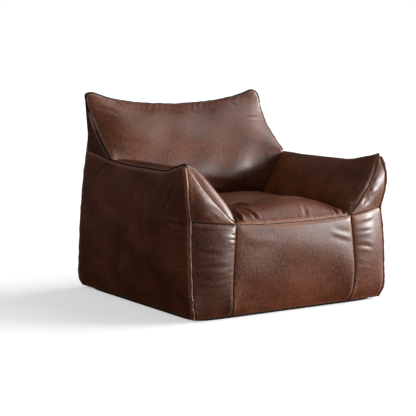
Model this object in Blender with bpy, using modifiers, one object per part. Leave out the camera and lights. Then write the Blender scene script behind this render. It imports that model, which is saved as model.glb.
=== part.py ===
"""Bean bag armchair: a sewn leather cover over four bead-filled liner bags, with a zip along the bottom of the rear.

+X is the sitter's left-to-right as seen from the front, the front faces -Y and +Z is up. The origin is the middle
of the footprint, on the floor. Units are metres. Blender 4.5.
"""

import math

import bmesh
import bpy
import numpy as np
from mathutils import Vector

# ---------------------------------------------------------------- driving dimensions
WIDTH, DEPTH, HEIGHT = 0.800, 0.800, 0.700
SEAT_HEIGHT = 0.300  # the seam along the seat's front edge
ARM_HEIGHT = 0.465  # the seam along the middle of an arm's top
SHOULDER_HEIGHT = 0.495  # the seam round the rear, where the upper back begins
LEATHER = 0.0012
WELT_RADIUS = 0.0035
WELT_INSET = 0.0065  # from a welted seam's line to the edge of a panel
PLAIN_INSET = 0.0010  # from a plain seam's line to the edge of a panel
WING_INSET = 0.0115  # the same for the back's wing, whose seams slant away from its grid
LINER_CLOTH = 0.0006
LINER_GAP = 0.0014  # between a liner and its beads, and between a liner and its flap
BASE_SHEET = 0.0014

ZIP_HEIGHT = 0.065
ZIP_FACE_Y = 0.391  # outer face of the leather along the zip
ZIP_HALF_LENGTH = 0.280
ZIP_MOUTH = 0.014  # width of the gap between the two leather edges
SLIDER_START_X = 0.268

BROWN = (0.105, 0.042, 0.022, 1.0)
BROWN_WORN = (0.250, 0.105, 0.058, 1.0)
CLOTH_GREY = (0.60, 0.59, 0.56, 1.0)
CLOTH_DARK = (0.030, 0.022, 0.018, 1.0)
BEAD_WHITE = (0.88, 0.88, 0.87, 1.0)
TAPE_BROWN = (0.045, 0.022, 0.014, 1.0)
BRASS = (0.42, 0.29, 0.14, 1.0)

# ---------------------------------------------------------------- places where seams meet, on the +X side
FRONT_Y = -DEPTH / 2 + 0.012
BOTTOM_Z = 0.006
EAR = (0.3655, 0.357, HEIGHT - 0.010)
ARM_JOINT = (0.367, 0.177, ARM_HEIGHT + 0.007)  # where back, arm and side meet
ARM_TIP = (0.3915, -0.342, ARM_HEIGHT + 0.030)
SEAT_CORNER = (0.230, FRONT_Y, SEAT_HEIGHT)
KINK = (0.380, -0.359, SEAT_HEIGHT + 0.017)
SHOULDER = (0.358, 0.362, SHOULDER_HEIGHT)
INNER_CORNER = (0.262, 0.165, SEAT_HEIGHT + 0.008)
FRONT_FOOT = (0.370, -0.364, BOTTOM_Z)
SEAM_FOOT = (0.236, -0.366, BOTTOM_Z)
REAR_FOOT = (0.371, 0.371, BOTTOM_Z)
ZIP_END = (0.3855, 0.383, ZIP_HEIGHT)


# ---------------------------------------------------------------- curves and surfaces
def smooth(*points, steps=10):
    """A curve through the points, with cubic spans whose tangents come from their neighbours' spacing."""
    p = np.array(points, float)
    if len(p) == 2:
        return p[0] + (p[1] - p[0]) * np.linspace(0, 1, steps + 1)[:, None]
    gap = np.sqrt(np.linalg.norm(np.diff(p, axis=0), axis=1))[:, None]
    slope = np.diff(p, axis=0) / gap
    inner = (slope[:-1] * gap[1:] + slope[1:] * gap[:-1]) / (gap[:-1] + gap[1:])
    tangent = np.vstack([slope[:1], inner, slope[-1:]])
    t = np.linspace(0, 1, steps, endpoint=False)[:, None]
    spans = []
    for i in range(len(p) - 1):
        spans.append(
            (2 * t**3 - 3 * t**2 + 1) * p[i]
            + (t**3 - 2 * t**2 + t) * gap[i] * tangent[i]
            + (3 * t**2 - 2 * t**3) * p[i + 1]
            + (t**3 - t**2) * gap[i] * tangent[i + 1]
        )
    return np.vstack([*spans, p[-1:]])


def joined(*curves):
    """Curves that follow one another as one, without the shared points twice."""
    return np.vstack([curves[0], *[c[1:] for c in curves[1:]]])


def mirrored(curve):
    """The same curve on the other side of the chair."""
    return curve * (-1, 1, 1)


def length(curve):
    return float(np.linalg.norm(np.diff(curve, axis=0), axis=1).sum())


def along(curve, share):
    """Points at these shares of the curve's length."""
    travelled = np.concatenate([[0], np.cumsum(np.linalg.norm(np.diff(curve, axis=0), axis=1))])
    if travelled[-1] < 1e-9:
        return np.broadcast_to(curve[0], (*np.shape(share), 3))
    at = np.asarray(share) * travelled[-1]
    return np.stack([np.interp(at, travelled, curve[:, k]) for k in range(3)], axis=-1)


def thinned(curve, tolerance):
    """The curve with as few of its points as keep within the tolerance of it."""
    chord = curve[-1] - curve[0]
    span = np.linalg.norm(chord)
    offset = np.linalg.norm(np.cross(curve - curve[0], chord / max(span, 1e-9)), axis=1)
    worst = int(offset.argmax())
    if len(curve) < 3 or offset[worst] < tolerance:
        return curve[[0, -1]]
    return joined(thinned(curve[: worst + 1], tolerance), thinned(curve[worst:], tolerance))


def coons(bottom, top, left, right, u, v):
    """The bilinearly blended surface that has these four edge curves, at u across and v up."""
    across = (1 - v)[..., None] * along(bottom, u) + v[..., None] * along(top, u)
    up = (1 - u)[..., None] * along(left, v) + u[..., None] * along(right, v)
    corners = (
        ((1 - u) * (1 - v))[..., None] * bottom[0]
        + (u * (1 - v))[..., None] * bottom[-1]
        + ((1 - u) * v)[..., None] * top[0]
        + (u * v)[..., None] * top[-1]
    )
    return across + up - corners


# ---------------------------------------------------------------- seams, on the +X side
SEAMS = {
    "back_top": smooth(
        (0, 0.358, HEIGHT - 0.052),
        (0.170, 0.358, HEIGHT - 0.042),
        (0.285, 0.358, HEIGHT - 0.022),
        (0.345, 0.357, HEIGHT - WELT_RADIUS),
        EAR,
    ),
    "back_side": smooth(
        EAR,
        (0.3710, 0.350, HEIGHT - 0.028),
        (0.366, 0.311, 0.595),
        (0.366, 0.235, 0.520),
        ARM_JOINT,
    ),
    "arm_top": smooth(
        ARM_JOINT,
        (0.378, 0.030, ARM_HEIGHT),
        (0.379, -0.110, ARM_HEIGHT - 0.001),
        (0.381, -0.210, ARM_HEIGHT),
        (0.387, -0.290, ARM_HEIGHT + 0.018),
        ARM_TIP,
    ),
    "arm_front": smooth(ARM_TIP, (0.345, -0.366, 0.420), (0.286, -0.380, 0.354), SEAT_CORNER),
    "corner_upper": smooth(ARM_TIP, (0.3955, -0.364, 0.450), (0.3950, -0.368, 0.390), KINK),
    "corner_lower": smooth(
        KINK,
        (0.386, -0.368, 0.220),
        (0.386, -0.374, 0.120),
        (0.384, -0.377, 0.045),
        FRONT_FOOT,
    ),
    "arm_base": smooth(SEAT_CORNER, (0.305, -0.384, SEAT_HEIGHT + 0.009), KINK),
    "seat_front": smooth(
        (0, -DEPTH / 2 + 0.006, SEAT_HEIGHT - 0.006),
        (0.115, -DEPTH / 2 + 0.008, SEAT_HEIGHT - 0.005),
        SEAT_CORNER,
    ),
    "front_plain": smooth(
        SEAT_CORNER, (0.240, -0.392, 0.200), (0.246, -0.394, 0.100), (0.241, -0.387, 0.035), SEAM_FOOT
    ),
    "rear_upper": smooth(EAR, (0.3525, 0.366, 0.600), (0.350, 0.365, 0.550), SHOULDER),
    "rear_lower": smooth(SHOULDER, (0.370, 0.366, 0.400), (0.379, 0.374, 0.270), (0.384, 0.380, 0.130), ZIP_END),
    "rear_hem": smooth(ZIP_END, (0.384, 0.382, 0.035), REAR_FOOT),
    "shoulder_side": smooth(SHOULDER, (0.366, 0.270, 0.487), ARM_JOINT),
    "shoulder_rear": smooth((0, 0.380, SHOULDER_HEIGHT - 0.005), (0.200, 0.374, SHOULDER_HEIGHT - 0.004), SHOULDER),
    "inner_upright": smooth(ARM_JOINT, (0.325, 0.165, 0.400), (0.275, 0.162, 0.330), INNER_CORNER),
    "seat_side": smooth(INNER_CORNER, (0.258, -0.020, 0.306), (0.252, -0.200, 0.303), SEAT_CORNER),
    "seat_rear": smooth((0, 0.175, SEAT_HEIGHT + 0.008), INNER_CORNER),
    "zip_line": smooth((0, ZIP_FACE_Y, ZIP_HEIGHT), (0.310, ZIP_FACE_Y, ZIP_HEIGHT), ZIP_END),
    "foot_front": smooth((0, -0.366, BOTTOM_Z), SEAM_FOOT),
    "foot_gusset": smooth(SEAM_FOOT, FRONT_FOOT),
    "foot_side": smooth(FRONT_FOOT, REAR_FOOT),
    "foot_rear": smooth((0, 0.371, BOTTOM_Z), REAR_FOOT),
}


def whole(name):
    """A seam that starts on the chair's middle plane, run from its -X end to its +X end."""
    half = SEAMS[name]
    return joined(mirrored(half)[::-1], half)


# ---------------------------------------------------------------- Blender helpers
def clear_scene():
    for obj in list(bpy.data.objects):
        bpy.data.objects.remove(obj, do_unlink=True)


def material(name, colour, roughness, metallic=0.0):
    made = bpy.data.materials.new(name)
    made.use_nodes = True
    made.diffuse_color = colour
    shader = made.node_tree.nodes["Principled BSDF"]
    shader.inputs["Base Color"].default_value = colour
    shader.inputs["Roughness"].default_value = roughness
    shader.inputs["Metallic"].default_value = metallic
    return made


def place(name, data, stuff):
    """A new object in the chair's collection."""
    obj = bpy.data.objects.new(name, data)
    obj.data.materials.append(stuff)
    CHAIR.objects.link(obj)
    return obj


def mesh_object(name, bm, stuff, rounded=True):
    mesh = bpy.data.meshes.new(name)
    bm.to_mesh(mesh)
    bm.free()
    if rounded:
        mesh.shade_smooth()
    return place(name, mesh, stuff)


def thicken(obj, thickness, offset=-1.0):
    """Solidify, inwards for an offset of -1 and outwards for 1."""
    wall = obj.modifiers.new("wall", "SOLIDIFY")
    wall.thickness = thickness
    wall.offset = offset
    wall.use_even_offset = False
    return obj


def panel(name, edges, cells, bulge, outward, insets, start=0.0, mirror=False):
    """A leather panel: a grid spread over the surface between its four seams, crowned, and thickened inwards.

    edges are the bottom, top, left and right seams; insets are in the same order. start leaves out the first
    share of the panel above its bottom edge, for a panel that runs to a point there.
    """
    columns, rows = cells
    bm = bmesh.new()
    bmesh.ops.create_grid(bm, x_segments=columns, y_segments=rows, size=0.5)
    points = np.array([v.co for v in bm.verts])
    u, v = points[:, 0] + 0.5, points[:, 1] + 0.5
    bottom, top, left, right = edges
    tall = (length(left) + length(right)) / 2
    low, high = max(insets[0] / tall, start), 1 - insets[1] / tall
    v = low + v * (high - low)
    wide = (1 - v) * length(bottom) + v * length(top)
    u = insets[2] / wide + u * (1 - (insets[2] + insets[3]) / wide)
    crown = (4 * u * (1 - u)) ** 0.8 * (4 * v * (1 - v)) ** 0.8
    surface = coons(bottom, top, left, right, u, v) + crown[:, None] * bulge * np.array(outward)
    if mirror:
        surface = mirrored(surface)
        outward = (-outward[0], outward[1], outward[2])
    for vertex, place_at in zip(bm.verts, surface):
        vertex.co = place_at
    bm.normal_update()
    facing = sum((face.normal * face.calc_area() for face in bm.faces), Vector())
    if facing.dot(Vector(outward)) < 0:
        bmesh.ops.reverse_faces(bm, faces=bm.faces)
    return thicken(mesh_object(name, bm, LEATHER_BROWN), LEATHER)


def welt(name, curve, ends):
    """A raised seam: a round cord of leather along the curve, cut back from each end by these distances."""
    total = length(curve)
    line = thinned(along(curve, np.linspace(ends[0] / total, 1 - ends[1] / total, 120)), 0.0006)
    data = bpy.data.curves.new(name, "CURVE")
    data.dimensions = "3D"
    data.bevel_depth = WELT_RADIUS
    data.bevel_resolution = 1
    data.use_fill_caps = True
    spline = data.splines.new("POLY")
    spline.points.add(len(line) - 1)
    for point, at in zip(spline.points, line):
        point.co = (*at, 1)
    return place(name, data, LEATHER_WORN)


# ---------------------------------------------------------------- the cover
W, P = WELT_INSET, PLAIN_INSET


def centre_panels():
    """The five panels that cross the middle of the chair and the two of the rear."""
    back_edge = joined(SEAMS["inner_upright"][::-1], SEAMS["back_side"][::-1])
    panel(
        "back_front_panel",
        (whole("seat_rear"), whole("back_top"), mirrored(back_edge), back_edge),
        (12, 10),
        0.036,
        (0, -0.88, 0.47),
        (P, W, W, W),
    )
    seat_side = SEAMS["seat_side"][::-1]
    panel(
        "seat_panel",
        (whole("seat_front"), whole("seat_rear"), mirrored(seat_side), seat_side),
        (10, 9),
        0.032,
        (0, 0, 1),
        (W, P, P, P),
    )
    plain = SEAMS["front_plain"][::-1]
    panel(
        "front_panel",
        (whole("foot_front"), whole("seat_front"), mirrored(plain), plain),
        (8, 8),
        0.003,
        (0, -1, 0),
        (P, W, P, P),
    )
    upper = SEAMS["rear_upper"][::-1]
    panel(
        "rear_upper_panel",
        (whole("shoulder_rear"), whole("back_top"), mirrored(upper), upper),
        (12, 5),
        0.014,
        (0, 1, 0),
        (P, W, W, W),
    )
    lower = SEAMS["rear_lower"][::-1]
    panel(
        "rear_lower_panel",
        (whole("zip_line"), whole("shoulder_rear"), mirrored(lower), lower),
        (8, 8),
        0.013,
        (0, 1, 0),
        (ZIP_MOUTH / 2, P, W, W),
    )
    hem = SEAMS["rear_hem"][::-1]
    panel(
        "rear_hem_panel",
        (whole("foot_rear"), whole("zip_line"), mirrored(hem), hem),
        (8, 3),
        0.004,
        (0, 1, 0),
        (P, ZIP_MOUTH / 2, W, W),
    )


def side_panels(side, mirror):
    """The five panels of one side: its outside, the arm's inside and front, the gusset and the wing of the back."""
    panel(
        f"side_panel_{side}",
        (
            SEAMS["foot_side"],
            joined(SEAMS["arm_top"][::-1], SEAMS["shoulder_side"][::-1]),
            joined(SEAMS["corner_upper"], SEAMS["corner_lower"])[::-1],
            joined(SEAMS["rear_lower"], SEAMS["rear_hem"])[::-1],
        ),
        (10, 9),
        0.010,
        (1, 0, 0),
        (P, W, W, W),
        mirror=mirror,
    )
    panel(
        f"arm_inner_panel_{side}",
        (SEAMS["seat_side"], SEAMS["arm_top"], SEAMS["inner_upright"][::-1], SEAMS["arm_front"][::-1]),
        (9, 6),
        0.034,
        (-0.77, 0, 0.64),
        (P, W, P, W),
        mirror=mirror,
    )
    tip = np.array([ARM_TIP, ARM_TIP], float)
    panel(
        f"arm_front_panel_{side}",
        (tip, SEAMS["arm_base"], SEAMS["arm_front"], SEAMS["corner_upper"]),
        (4, 5),
        0.010,
        (0.15, -1, 0),
        (P, W, W, W),
        start=0.16,
        mirror=mirror,
    )
    panel(
        f"front_gusset_{side}",
        (
            SEAMS["foot_gusset"],
            SEAMS["arm_base"],
            SEAMS["front_plain"][::-1],
            SEAMS["corner_lower"][::-1],
        ),
        (4, 8),
        0.006,
        (0.1, -1, 0),
        (P, W, P, W),
        mirror=mirror,
    )
    ear = np.array([EAR, EAR], float)
    panel(
        f"back_wing_panel_{side}",
        (ear, SEAMS["shoulder_side"][::-1], SEAMS["back_side"], SEAMS["rear_upper"]),
        (4, 5),
        0.006,
        (1, 0, 0),
        (P, P, WING_INSET, WING_INSET),
        start=0.16,
        mirror=mirror,
    )


def welts():
    """The raised seams: one round the back, one round each arm, one along the seat and three down each side."""
    half_back = joined(SEAMS["back_top"], SEAMS["back_side"])
    welt("back_welt", joined(mirrored(half_back)[::-1], half_back), (0.006, 0.006))
    welt("seat_front_welt", whole("seat_front"), (0.006, 0.006))
    for side, turn in (("left", mirrored), ("right", np.array)):
        arm = joined(SEAMS["arm_top"], SEAMS["arm_front"])
        corner = joined(SEAMS["corner_upper"], SEAMS["corner_lower"])
        rear = joined(SEAMS["rear_upper"], SEAMS["rear_lower"], SEAMS["rear_hem"])
        welt(f"arm_welt_{side}", turn(arm), (0.006, 0.006))
        welt(f"arm_base_welt_{side}", turn(SEAMS["arm_base"]), (0.012, 0.010))
        welt(f"corner_welt_{side}", turn(corner), (0.018, 0.004))
        welt(f"rear_corner_welt_{side}", turn(rear), (0.030, 0.004))


def base_panel():
    """The flat sheet that the chair stands on: a square with round corners, shorter than the leather all round."""
    half, corner = 0.364, 0.040
    outline = []
    for centre_x, centre_y, first in ((1, 1, 0), (-1, 1, 90), (-1, -1, 180), (1, -1, 270)):
        for turn in range(0, 91, 15):
            angle = math.radians(first + turn)
            x = centre_x * (half - corner) + corner * math.cos(angle)
            y = centre_y * (half - corner) + corner * math.sin(angle)
            outline.append((x, y))
    data = bpy.data.curves.new("base_panel", "CURVE")
    data.dimensions = "2D"
    data.fill_mode = "BOTH"
    data.extrude = BASE_SHEET / 2
    spline = data.splines.new("POLY")
    spline.points.add(len(outline) - 1)
    spline.use_cyclic_u = True
    for point, (x, y) in zip(spline.points, outline):
        point.co = (x, y, 0, 1)
    place("base_panel", data, BASE_CLOTH).location.z = BASE_SHEET / 2


# ---------------------------------------------------------------- the filling
def bag_skin(corners, bulges, cuts=1):
    """A bag's closed surface: a cube with this many cuts each way, stretched to eight corners, crowned and smoothed.

    corners is indexed [x][y][z], each 0 or 1. bulges gives (axis, side, vector): how far the middle of the face
    on that side of that axis moves.
    """
    bm = bmesh.new()
    bmesh.ops.create_cube(bm, size=2)
    bmesh.ops.subdivide_edges(bm, edges=bm.edges, cuts=cuts, use_grid_fill=True)
    corners = np.array(corners, float)
    for vertex in bm.verts:
        at = np.array(vertex.co)
        weight = [((1 - c) / 2, (1 + c) / 2) for c in at]
        spot = np.einsum("i,j,k,ijkc->c", *weight, corners)
        for axis, side, vector in bulges:
            others = [at[k] for k in range(3) if k != axis]
            crown = max(0.0, at[axis] * side) * np.prod([1 - c * c for c in others])
            spot = spot + crown * np.array(vector)
        vertex.co = spot
    obj = mesh_object("bag", bm, BEADS)
    rounding = obj.modifiers.new("rounding", "SUBSURF")
    rounding.levels = rounding.render_levels = 1
    bpy.context.view_layer.update()
    mesh = bpy.data.meshes.new_from_object(obj.evaluated_get(bpy.context.evaluated_depsgraph_get()))
    bpy.data.objects.remove(obj)
    return mesh


def bag(name, skin, mouth_at):
    """A liner with a filling mouth, the flap sewn over the mouth, and the beads, all from one skin.

    The mouth is the four faces round the point of the skin that is nearest to mouth_at.
    """
    liner = bmesh.new()
    liner.from_mesh(skin)
    nearest = min(liner.verts, key=lambda vertex: (vertex.co - Vector(mouth_at)).length)
    mouth = {face.index for face in nearest.link_faces}
    bmesh.ops.delete(liner, geom=[face for face in liner.faces if face.index in mouth], context="FACES")
    thicken(mesh_object(f"{name}_liner", liner, LINER_FABRIC), LINER_CLOTH)

    flap = bmesh.new()
    flap.from_mesh(skin)
    flap.normal_update()
    for vertex in flap.verts:
        vertex.co += vertex.normal * LINER_GAP
    bmesh.ops.delete(flap, geom=[face for face in flap.faces if face.index not in mouth], context="FACES")
    thicken(mesh_object(f"{name}_liner_flap", flap, LINER_FABRIC), LINER_CLOTH, offset=1.0)

    beads = bmesh.new()
    beads.from_mesh(skin)
    beads.normal_update()
    for vertex in beads.verts:
        vertex.co -= vertex.normal * (LINER_GAP + LINER_CLOTH)
    mesh_object(f"{name}_beads", beads, BEADS)


def filling():
    """One bag under the seat, one in the back and one in each arm."""
    base = [
        [[(x, -0.374, 0.006), (x, -0.372, 0.294)], [(x, 0.376, 0.006), (x, 0.366, 0.280)]]
        for x in (-0.376, 0.376)
    ]
    swells = [(2, 1, (0, -0.030, 0.024)), (1, -1, (0, -0.010, 0)), (1, 1, (0, 0.008, 0))]
    bag("base", bag_skin(base, swells, cuts=2), (0, 0.376, 0.150))
    back = [
        [[(x, 0.200, 0.314), (x, 0.324, 0.596)], [(x, 0.356, 0.314), (x, 0.360, 0.652)]]
        for x in (-0.346, 0.346)
    ]
    swells = [(1, -1, (0, -0.042, 0.008)), (2, 1, (0, 0, -0.008)), (1, 1, (0, 0.012, 0))]
    bag("back", bag_skin(back, swells, cuts=2), (0, 0.358, 0.480))
    arm = [
        [[(0.282, -0.360, 0.314), (0.368, -0.340, 0.452)], [(0.288, 0.146, 0.314), (0.362, 0.146, 0.442)]],
        [[(0.374, -0.350, 0.314), (0.382, -0.338, 0.456)], [(0.374, 0.150, 0.314), (0.370, 0.150, 0.446)]],
    ]
    swells = [(0, -1, (-0.034, 0, 0.020)), (0, 1, (0.008, 0, 0))]
    bag("right_arm", bag_skin(arm, swells), (0.384, -0.09, 0.390))
    other_side = (np.array(arm) * (-1, 1, 1))[::-1]
    swells = [(0, 1, (0.034, 0, 0.020)), (0, -1, (-0.008, 0, 0))]
    bag("left_arm", bag_skin(other_side, swells), (-0.384, -0.09, 0.390))


# ---------------------------------------------------------------- the zip
def block(name, low, high, stuff, bevel=0.0):
    """A box between two corners, its outer edges rounded by the bevel's width."""
    bm = bmesh.new()
    bmesh.ops.create_cube(bm, size=1)
    size, middle = Vector(high) - Vector(low), (Vector(high) + Vector(low)) / 2
    for vertex in bm.verts:
        vertex.co = Vector(c * s for c, s in zip(vertex.co, size))
    obj = mesh_object(name, bm, stuff, rounded=False)
    obj.location = middle
    if bevel:
        edge = obj.modifiers.new("edge", "BEVEL")
        edge.width = bevel
        edge.segments = 2
    return obj


def zip_slider():
    """The moving slider: a plate with two lips over the coils and a small eye, with no pull that a child could use."""
    plate_y, lip_y, top_y = ZIP_FACE_Y - 0.0004, ZIP_FACE_Y - 0.0024, ZIP_FACE_Y + 0.0012
    half_x, half_z, lip = 0.0075, 0.0048, 0.0014
    slider = block(
        "zip_slider",
        (SLIDER_START_X - half_x, lip_y, ZIP_HEIGHT - half_z),
        (SLIDER_START_X + half_x, top_y, ZIP_HEIGHT + half_z),
        BRASS_METAL,
        bevel=0.0005,
    )
    channel = block(
        "slider_channel",
        (SLIDER_START_X - 2 * half_x, lip_y - 0.002, ZIP_HEIGHT - half_z + lip),
        (SLIDER_START_X + 2 * half_x, plate_y, ZIP_HEIGHT + half_z - lip),
        BRASS_METAL,
    )
    bpy.ops.mesh.primitive_torus_add(
        major_radius=0.0030,
        minor_radius=0.0007,
        major_segments=16,
        minor_segments=6,
        location=(SLIDER_START_X, top_y + 0.0004, ZIP_HEIGHT),
    )
    eye = bpy.context.object
    eye.name = "slider_eye"
    for helper, operation in ((eye, "UNION"), (channel, "DIFFERENCE")):
        cut = slider.modifiers.new(helper.name, "BOOLEAN")
        cut.operation = operation
        cut.object = helper
        helper.hide_render = True
        helper.display_type = "WIRE"
        for owner in helper.users_collection:
            owner.objects.unlink(helper)
        CUTTERS.objects.link(helper)


def zip_fastener():
    """Two tapes behind the leather's edges, a coil on each, a stop at each end, and the slider."""
    tape_face = ZIP_FACE_Y - 0.0030
    coil_face = tape_face + 0.0022
    end = ZIP_HALF_LENGTH
    for word, sign in (("upper", 1), ("lower", -1)):
        tape = sorted((ZIP_HEIGHT + sign * 0.0007, ZIP_HEIGHT + sign * 0.0155))
        coil = sorted((ZIP_HEIGHT + sign * 0.0004, ZIP_HEIGHT + sign * 0.0024))
        block(
            f"zip_tape_{word}",
            (-end - 0.012, tape_face - 0.0010, tape[0]),
            (end + 0.012, tape_face, tape[1]),
            ZIP_TAPE,
        )
        block(f"zip_coil_{word}", (-end, tape_face + 0.0003, coil[0]), (end, coil_face, coil[1]), ZIP_TAPE)
    for word, sign in (("closed", 1), ("open", -1)):
        near, far = sorted((sign * (end + 0.0006), sign * (end + 0.0046)))
        block(
            f"zip_stop_{word}",
            (near, tape_face + 0.0003, ZIP_HEIGHT - 0.0034),
            (far, coil_face + 0.0004, ZIP_HEIGHT + 0.0034),
            BRASS_METAL,
            bevel=0.0004,
        )
    zip_slider()


# ---------------------------------------------------------------- build
clear_scene()
CHAIR = bpy.data.collections.new("bean_bag_chair")
CUTTERS = bpy.data.collections.new("cutters")
for made in (CHAIR, CUTTERS):
    bpy.context.scene.collection.children.link(made)
LEATHER_BROWN = material("leather_brown", BROWN, 0.42)
LEATHER_WORN = material("leather_worn", BROWN_WORN, 0.45)
LINER_FABRIC = material("liner_fabric", CLOTH_GREY, 0.85)
BASE_CLOTH = material("base_cloth", CLOTH_DARK, 0.80)
BEADS = material("beads", BEAD_WHITE, 0.60)
ZIP_TAPE = material("zip_tape", TAPE_BROWN, 0.75)
BRASS_METAL = material("brass_metal", BRASS, 0.35, metallic=1.0)

centre_panels()
side_panels("right", mirror=False)
side_panels("left", mirror=True)
welts()
base_panel()
filling()
zip_fastener()
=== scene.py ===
# %% [markdown]
# # A bean bag armchair in waxed brown leather
#
# The chair is a leather cover sewn from seventeen panels, filled with four bags of beads. Its frame is fixed: the
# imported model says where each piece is. Here the cover is made again as real leather. Every panel is a surface
# spread between its seams, all of them are inflated together as cloth, and the creases, raised seams, stitches and
# the finish of the leather are added on top of that.

import math

import bpy
import numpy as np
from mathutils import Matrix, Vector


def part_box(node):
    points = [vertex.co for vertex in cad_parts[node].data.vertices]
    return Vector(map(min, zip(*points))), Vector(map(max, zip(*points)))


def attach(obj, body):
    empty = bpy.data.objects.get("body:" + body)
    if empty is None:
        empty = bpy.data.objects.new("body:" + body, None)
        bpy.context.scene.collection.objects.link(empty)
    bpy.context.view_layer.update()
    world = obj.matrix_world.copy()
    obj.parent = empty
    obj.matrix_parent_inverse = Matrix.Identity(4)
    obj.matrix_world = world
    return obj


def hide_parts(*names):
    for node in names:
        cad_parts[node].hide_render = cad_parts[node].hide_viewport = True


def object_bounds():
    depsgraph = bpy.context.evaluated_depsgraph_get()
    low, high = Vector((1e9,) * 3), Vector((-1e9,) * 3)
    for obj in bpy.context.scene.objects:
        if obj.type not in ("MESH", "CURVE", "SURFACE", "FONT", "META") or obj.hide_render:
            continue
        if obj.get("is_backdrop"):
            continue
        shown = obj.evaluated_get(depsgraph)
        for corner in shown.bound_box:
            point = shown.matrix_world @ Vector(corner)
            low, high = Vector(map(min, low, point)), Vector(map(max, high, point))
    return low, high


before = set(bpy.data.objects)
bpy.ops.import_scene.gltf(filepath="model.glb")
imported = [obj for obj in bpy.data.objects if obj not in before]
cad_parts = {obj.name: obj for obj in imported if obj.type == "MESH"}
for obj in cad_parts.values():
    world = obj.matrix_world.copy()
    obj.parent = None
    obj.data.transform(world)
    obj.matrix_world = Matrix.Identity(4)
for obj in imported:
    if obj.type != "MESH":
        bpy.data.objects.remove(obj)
CAD_LOW, CAD_HIGH = (np.array(corner, float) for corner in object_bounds())
CAD_SIZE = CAD_HIGH - CAD_LOW
print("the chair measures", np.round(CAD_SIZE, 3), "m and has", len(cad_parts), "pieces in the frame")

# %% [markdown]
# ## Camera, floor and light
#
# A product is shown on a pale floor that runs off to white. The key light is broad, low and to the right of the
# front, so the leather's wax shows a wide soft gleam on the seat's front and in the back's lower corner, and the
# left side falls into shade. A much wider light overhead gives the soft contact shadow. Both are sun lamps, because a
# sun is even over the whole floor; its angle sets how soft it is.

# %% Camera
CAMERA_PLACE = (-2.4588, -3.6518, 0.8308)
CAMERA_TURN = math.radians(33.036)
CAMERA_TILT = math.radians(-6.875)
CAMERA_LENS_MM = 109.86

camera_data = bpy.data.cameras.new("camera")
camera_data.lens = CAMERA_LENS_MM
camera_data.sensor_width = 36.0
camera_data.clip_end = 200.0
camera = bpy.data.objects.new("camera", camera_data)
camera.location = CAMERA_PLACE
camera.rotation_euler = (math.pi / 2 + CAMERA_TILT, 0.0, -CAMERA_TURN)
bpy.context.scene.collection.objects.link(camera)
bpy.context.scene.camera = camera
bpy.context.scene.view_settings.view_transform = "Standard"
print("camera", round(math.dist(CAMERA_PLACE, (0, 0, 0.35)), 2), "m from the chair's middle")

# %% [markdown]
# ## Two small helpers for every material
#
# Colours are picked as sRGB hex values, as a maker would read them from a swatch card, but a shader works in linear
# light, so one function turns them. A second one adds a node with its settings and its links in a single call.


# %% Colour and node helpers
def linear(swatch):
    """A hex sRGB colour as linear RGBA: c / 12.92 below 0.04045, else ((c + 0.055) / 1.055) to the power 2.4."""
    c = np.array([int(swatch[i : i + 2], 16) for i in (1, 3, 5)]) / 255
    lin = np.where(c <= 0.04045, c / 12.92, ((c + 0.055) / 1.055) ** 2.4)
    return (*map(float, lin), 1.0)


def add(tree, kind, inputs=None, **settings):
    """Adds a node. inputs gives each socket, by name or number, a value or another node's output to link to."""
    node = tree.nodes.new(kind)
    for key, value in settings.items():
        setattr(node, key, value)
    for key, value in (inputs or {}).items():
        if isinstance(value, bpy.types.NodeSocket):
            tree.links.new(value, node.inputs[key])
        else:
            node.inputs[key].default_value = value
    return node


def ramp(tree, factor, *stops, interpolation="LINEAR"):
    """A colour ramp through (position, colour) stops."""
    node = add(tree, "ShaderNodeValToRGB", {"Fac": factor})
    node.color_ramp.interpolation = interpolation
    elements = node.color_ramp.elements
    while len(elements) < len(stops):
        elements.new(0.5)
    for element, (position, colour) in zip(elements, stops):
        element.position = position
        element.color = colour if len(colour) == 4 else (*colour, 1.0)
    return node.outputs["Color"]


def mixed(tree, share, colour, other):
    """One colour mixed with another by a share, where any of the three may be a node's output."""
    colours = add(tree, "ShaderNodeMix", data_type="RGBA")
    for socket, value in ((0, share), (6, colour), (7, other)):
        if isinstance(value, bpy.types.NodeSocket):
            tree.links.new(value, colours.inputs[socket])
        else:
            colours.inputs[socket].default_value = value
    return colours.outputs[2]


def grey(value):
    return (value, value, value, 1.0)


def material(name, **shader_values):
    """A new material: its tree, its Principled shader with these constant values, and the Object coordinates."""
    made = bpy.data.materials.new(name)
    made.use_nodes = True
    tree = made.node_tree
    shader = tree.nodes["Principled BSDF"]
    for key, value in shader_values.items():
        shader.inputs[key].default_value = value
    return made, tree, shader, add(tree, "ShaderNodeTexCoord").outputs["Object"]


print("walnut in linear light:", [round(c, 3) for c in linear("#5d4030")])

# %% Floor and lamps
FLOOR_HALF = 60.0
LAMPS = {  # where it shines from, how strongly, and how wide it is in degrees
    "key_light": ((0.83, -0.53, 0.14), 3.7, 20.0),
    "side_light": ((0.950, -0.163, 0.260), 2.0, 30.0),
    "front_light": ((0.64, -0.76, 0.12), 0.6, 24.0),
    "rim_light": ((0.903, 0.079, 0.423), 0.6, 34.0),
    "overhead_light": ((0.66, -0.05, 0.75), 0.5, 34.0),
    "left_light": ((-0.70, -0.20, 0.68), 0.42, 20.0),
}
ROOM_FILL, ROOM_GLOSS = 0.21, 0.07  # how bright the room is to the leather's colour, and to its gleam
FLOOR_FILL, FLOOR_GLOSS = 0.20, 0.03  # the floor's reflectance to the same two
FLOOR_SEEN = 0.92  # the floor's reflectance to the eye
FLOOR_LIFT = 0.43  # light that the paper floor adds of its own to the eye

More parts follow.
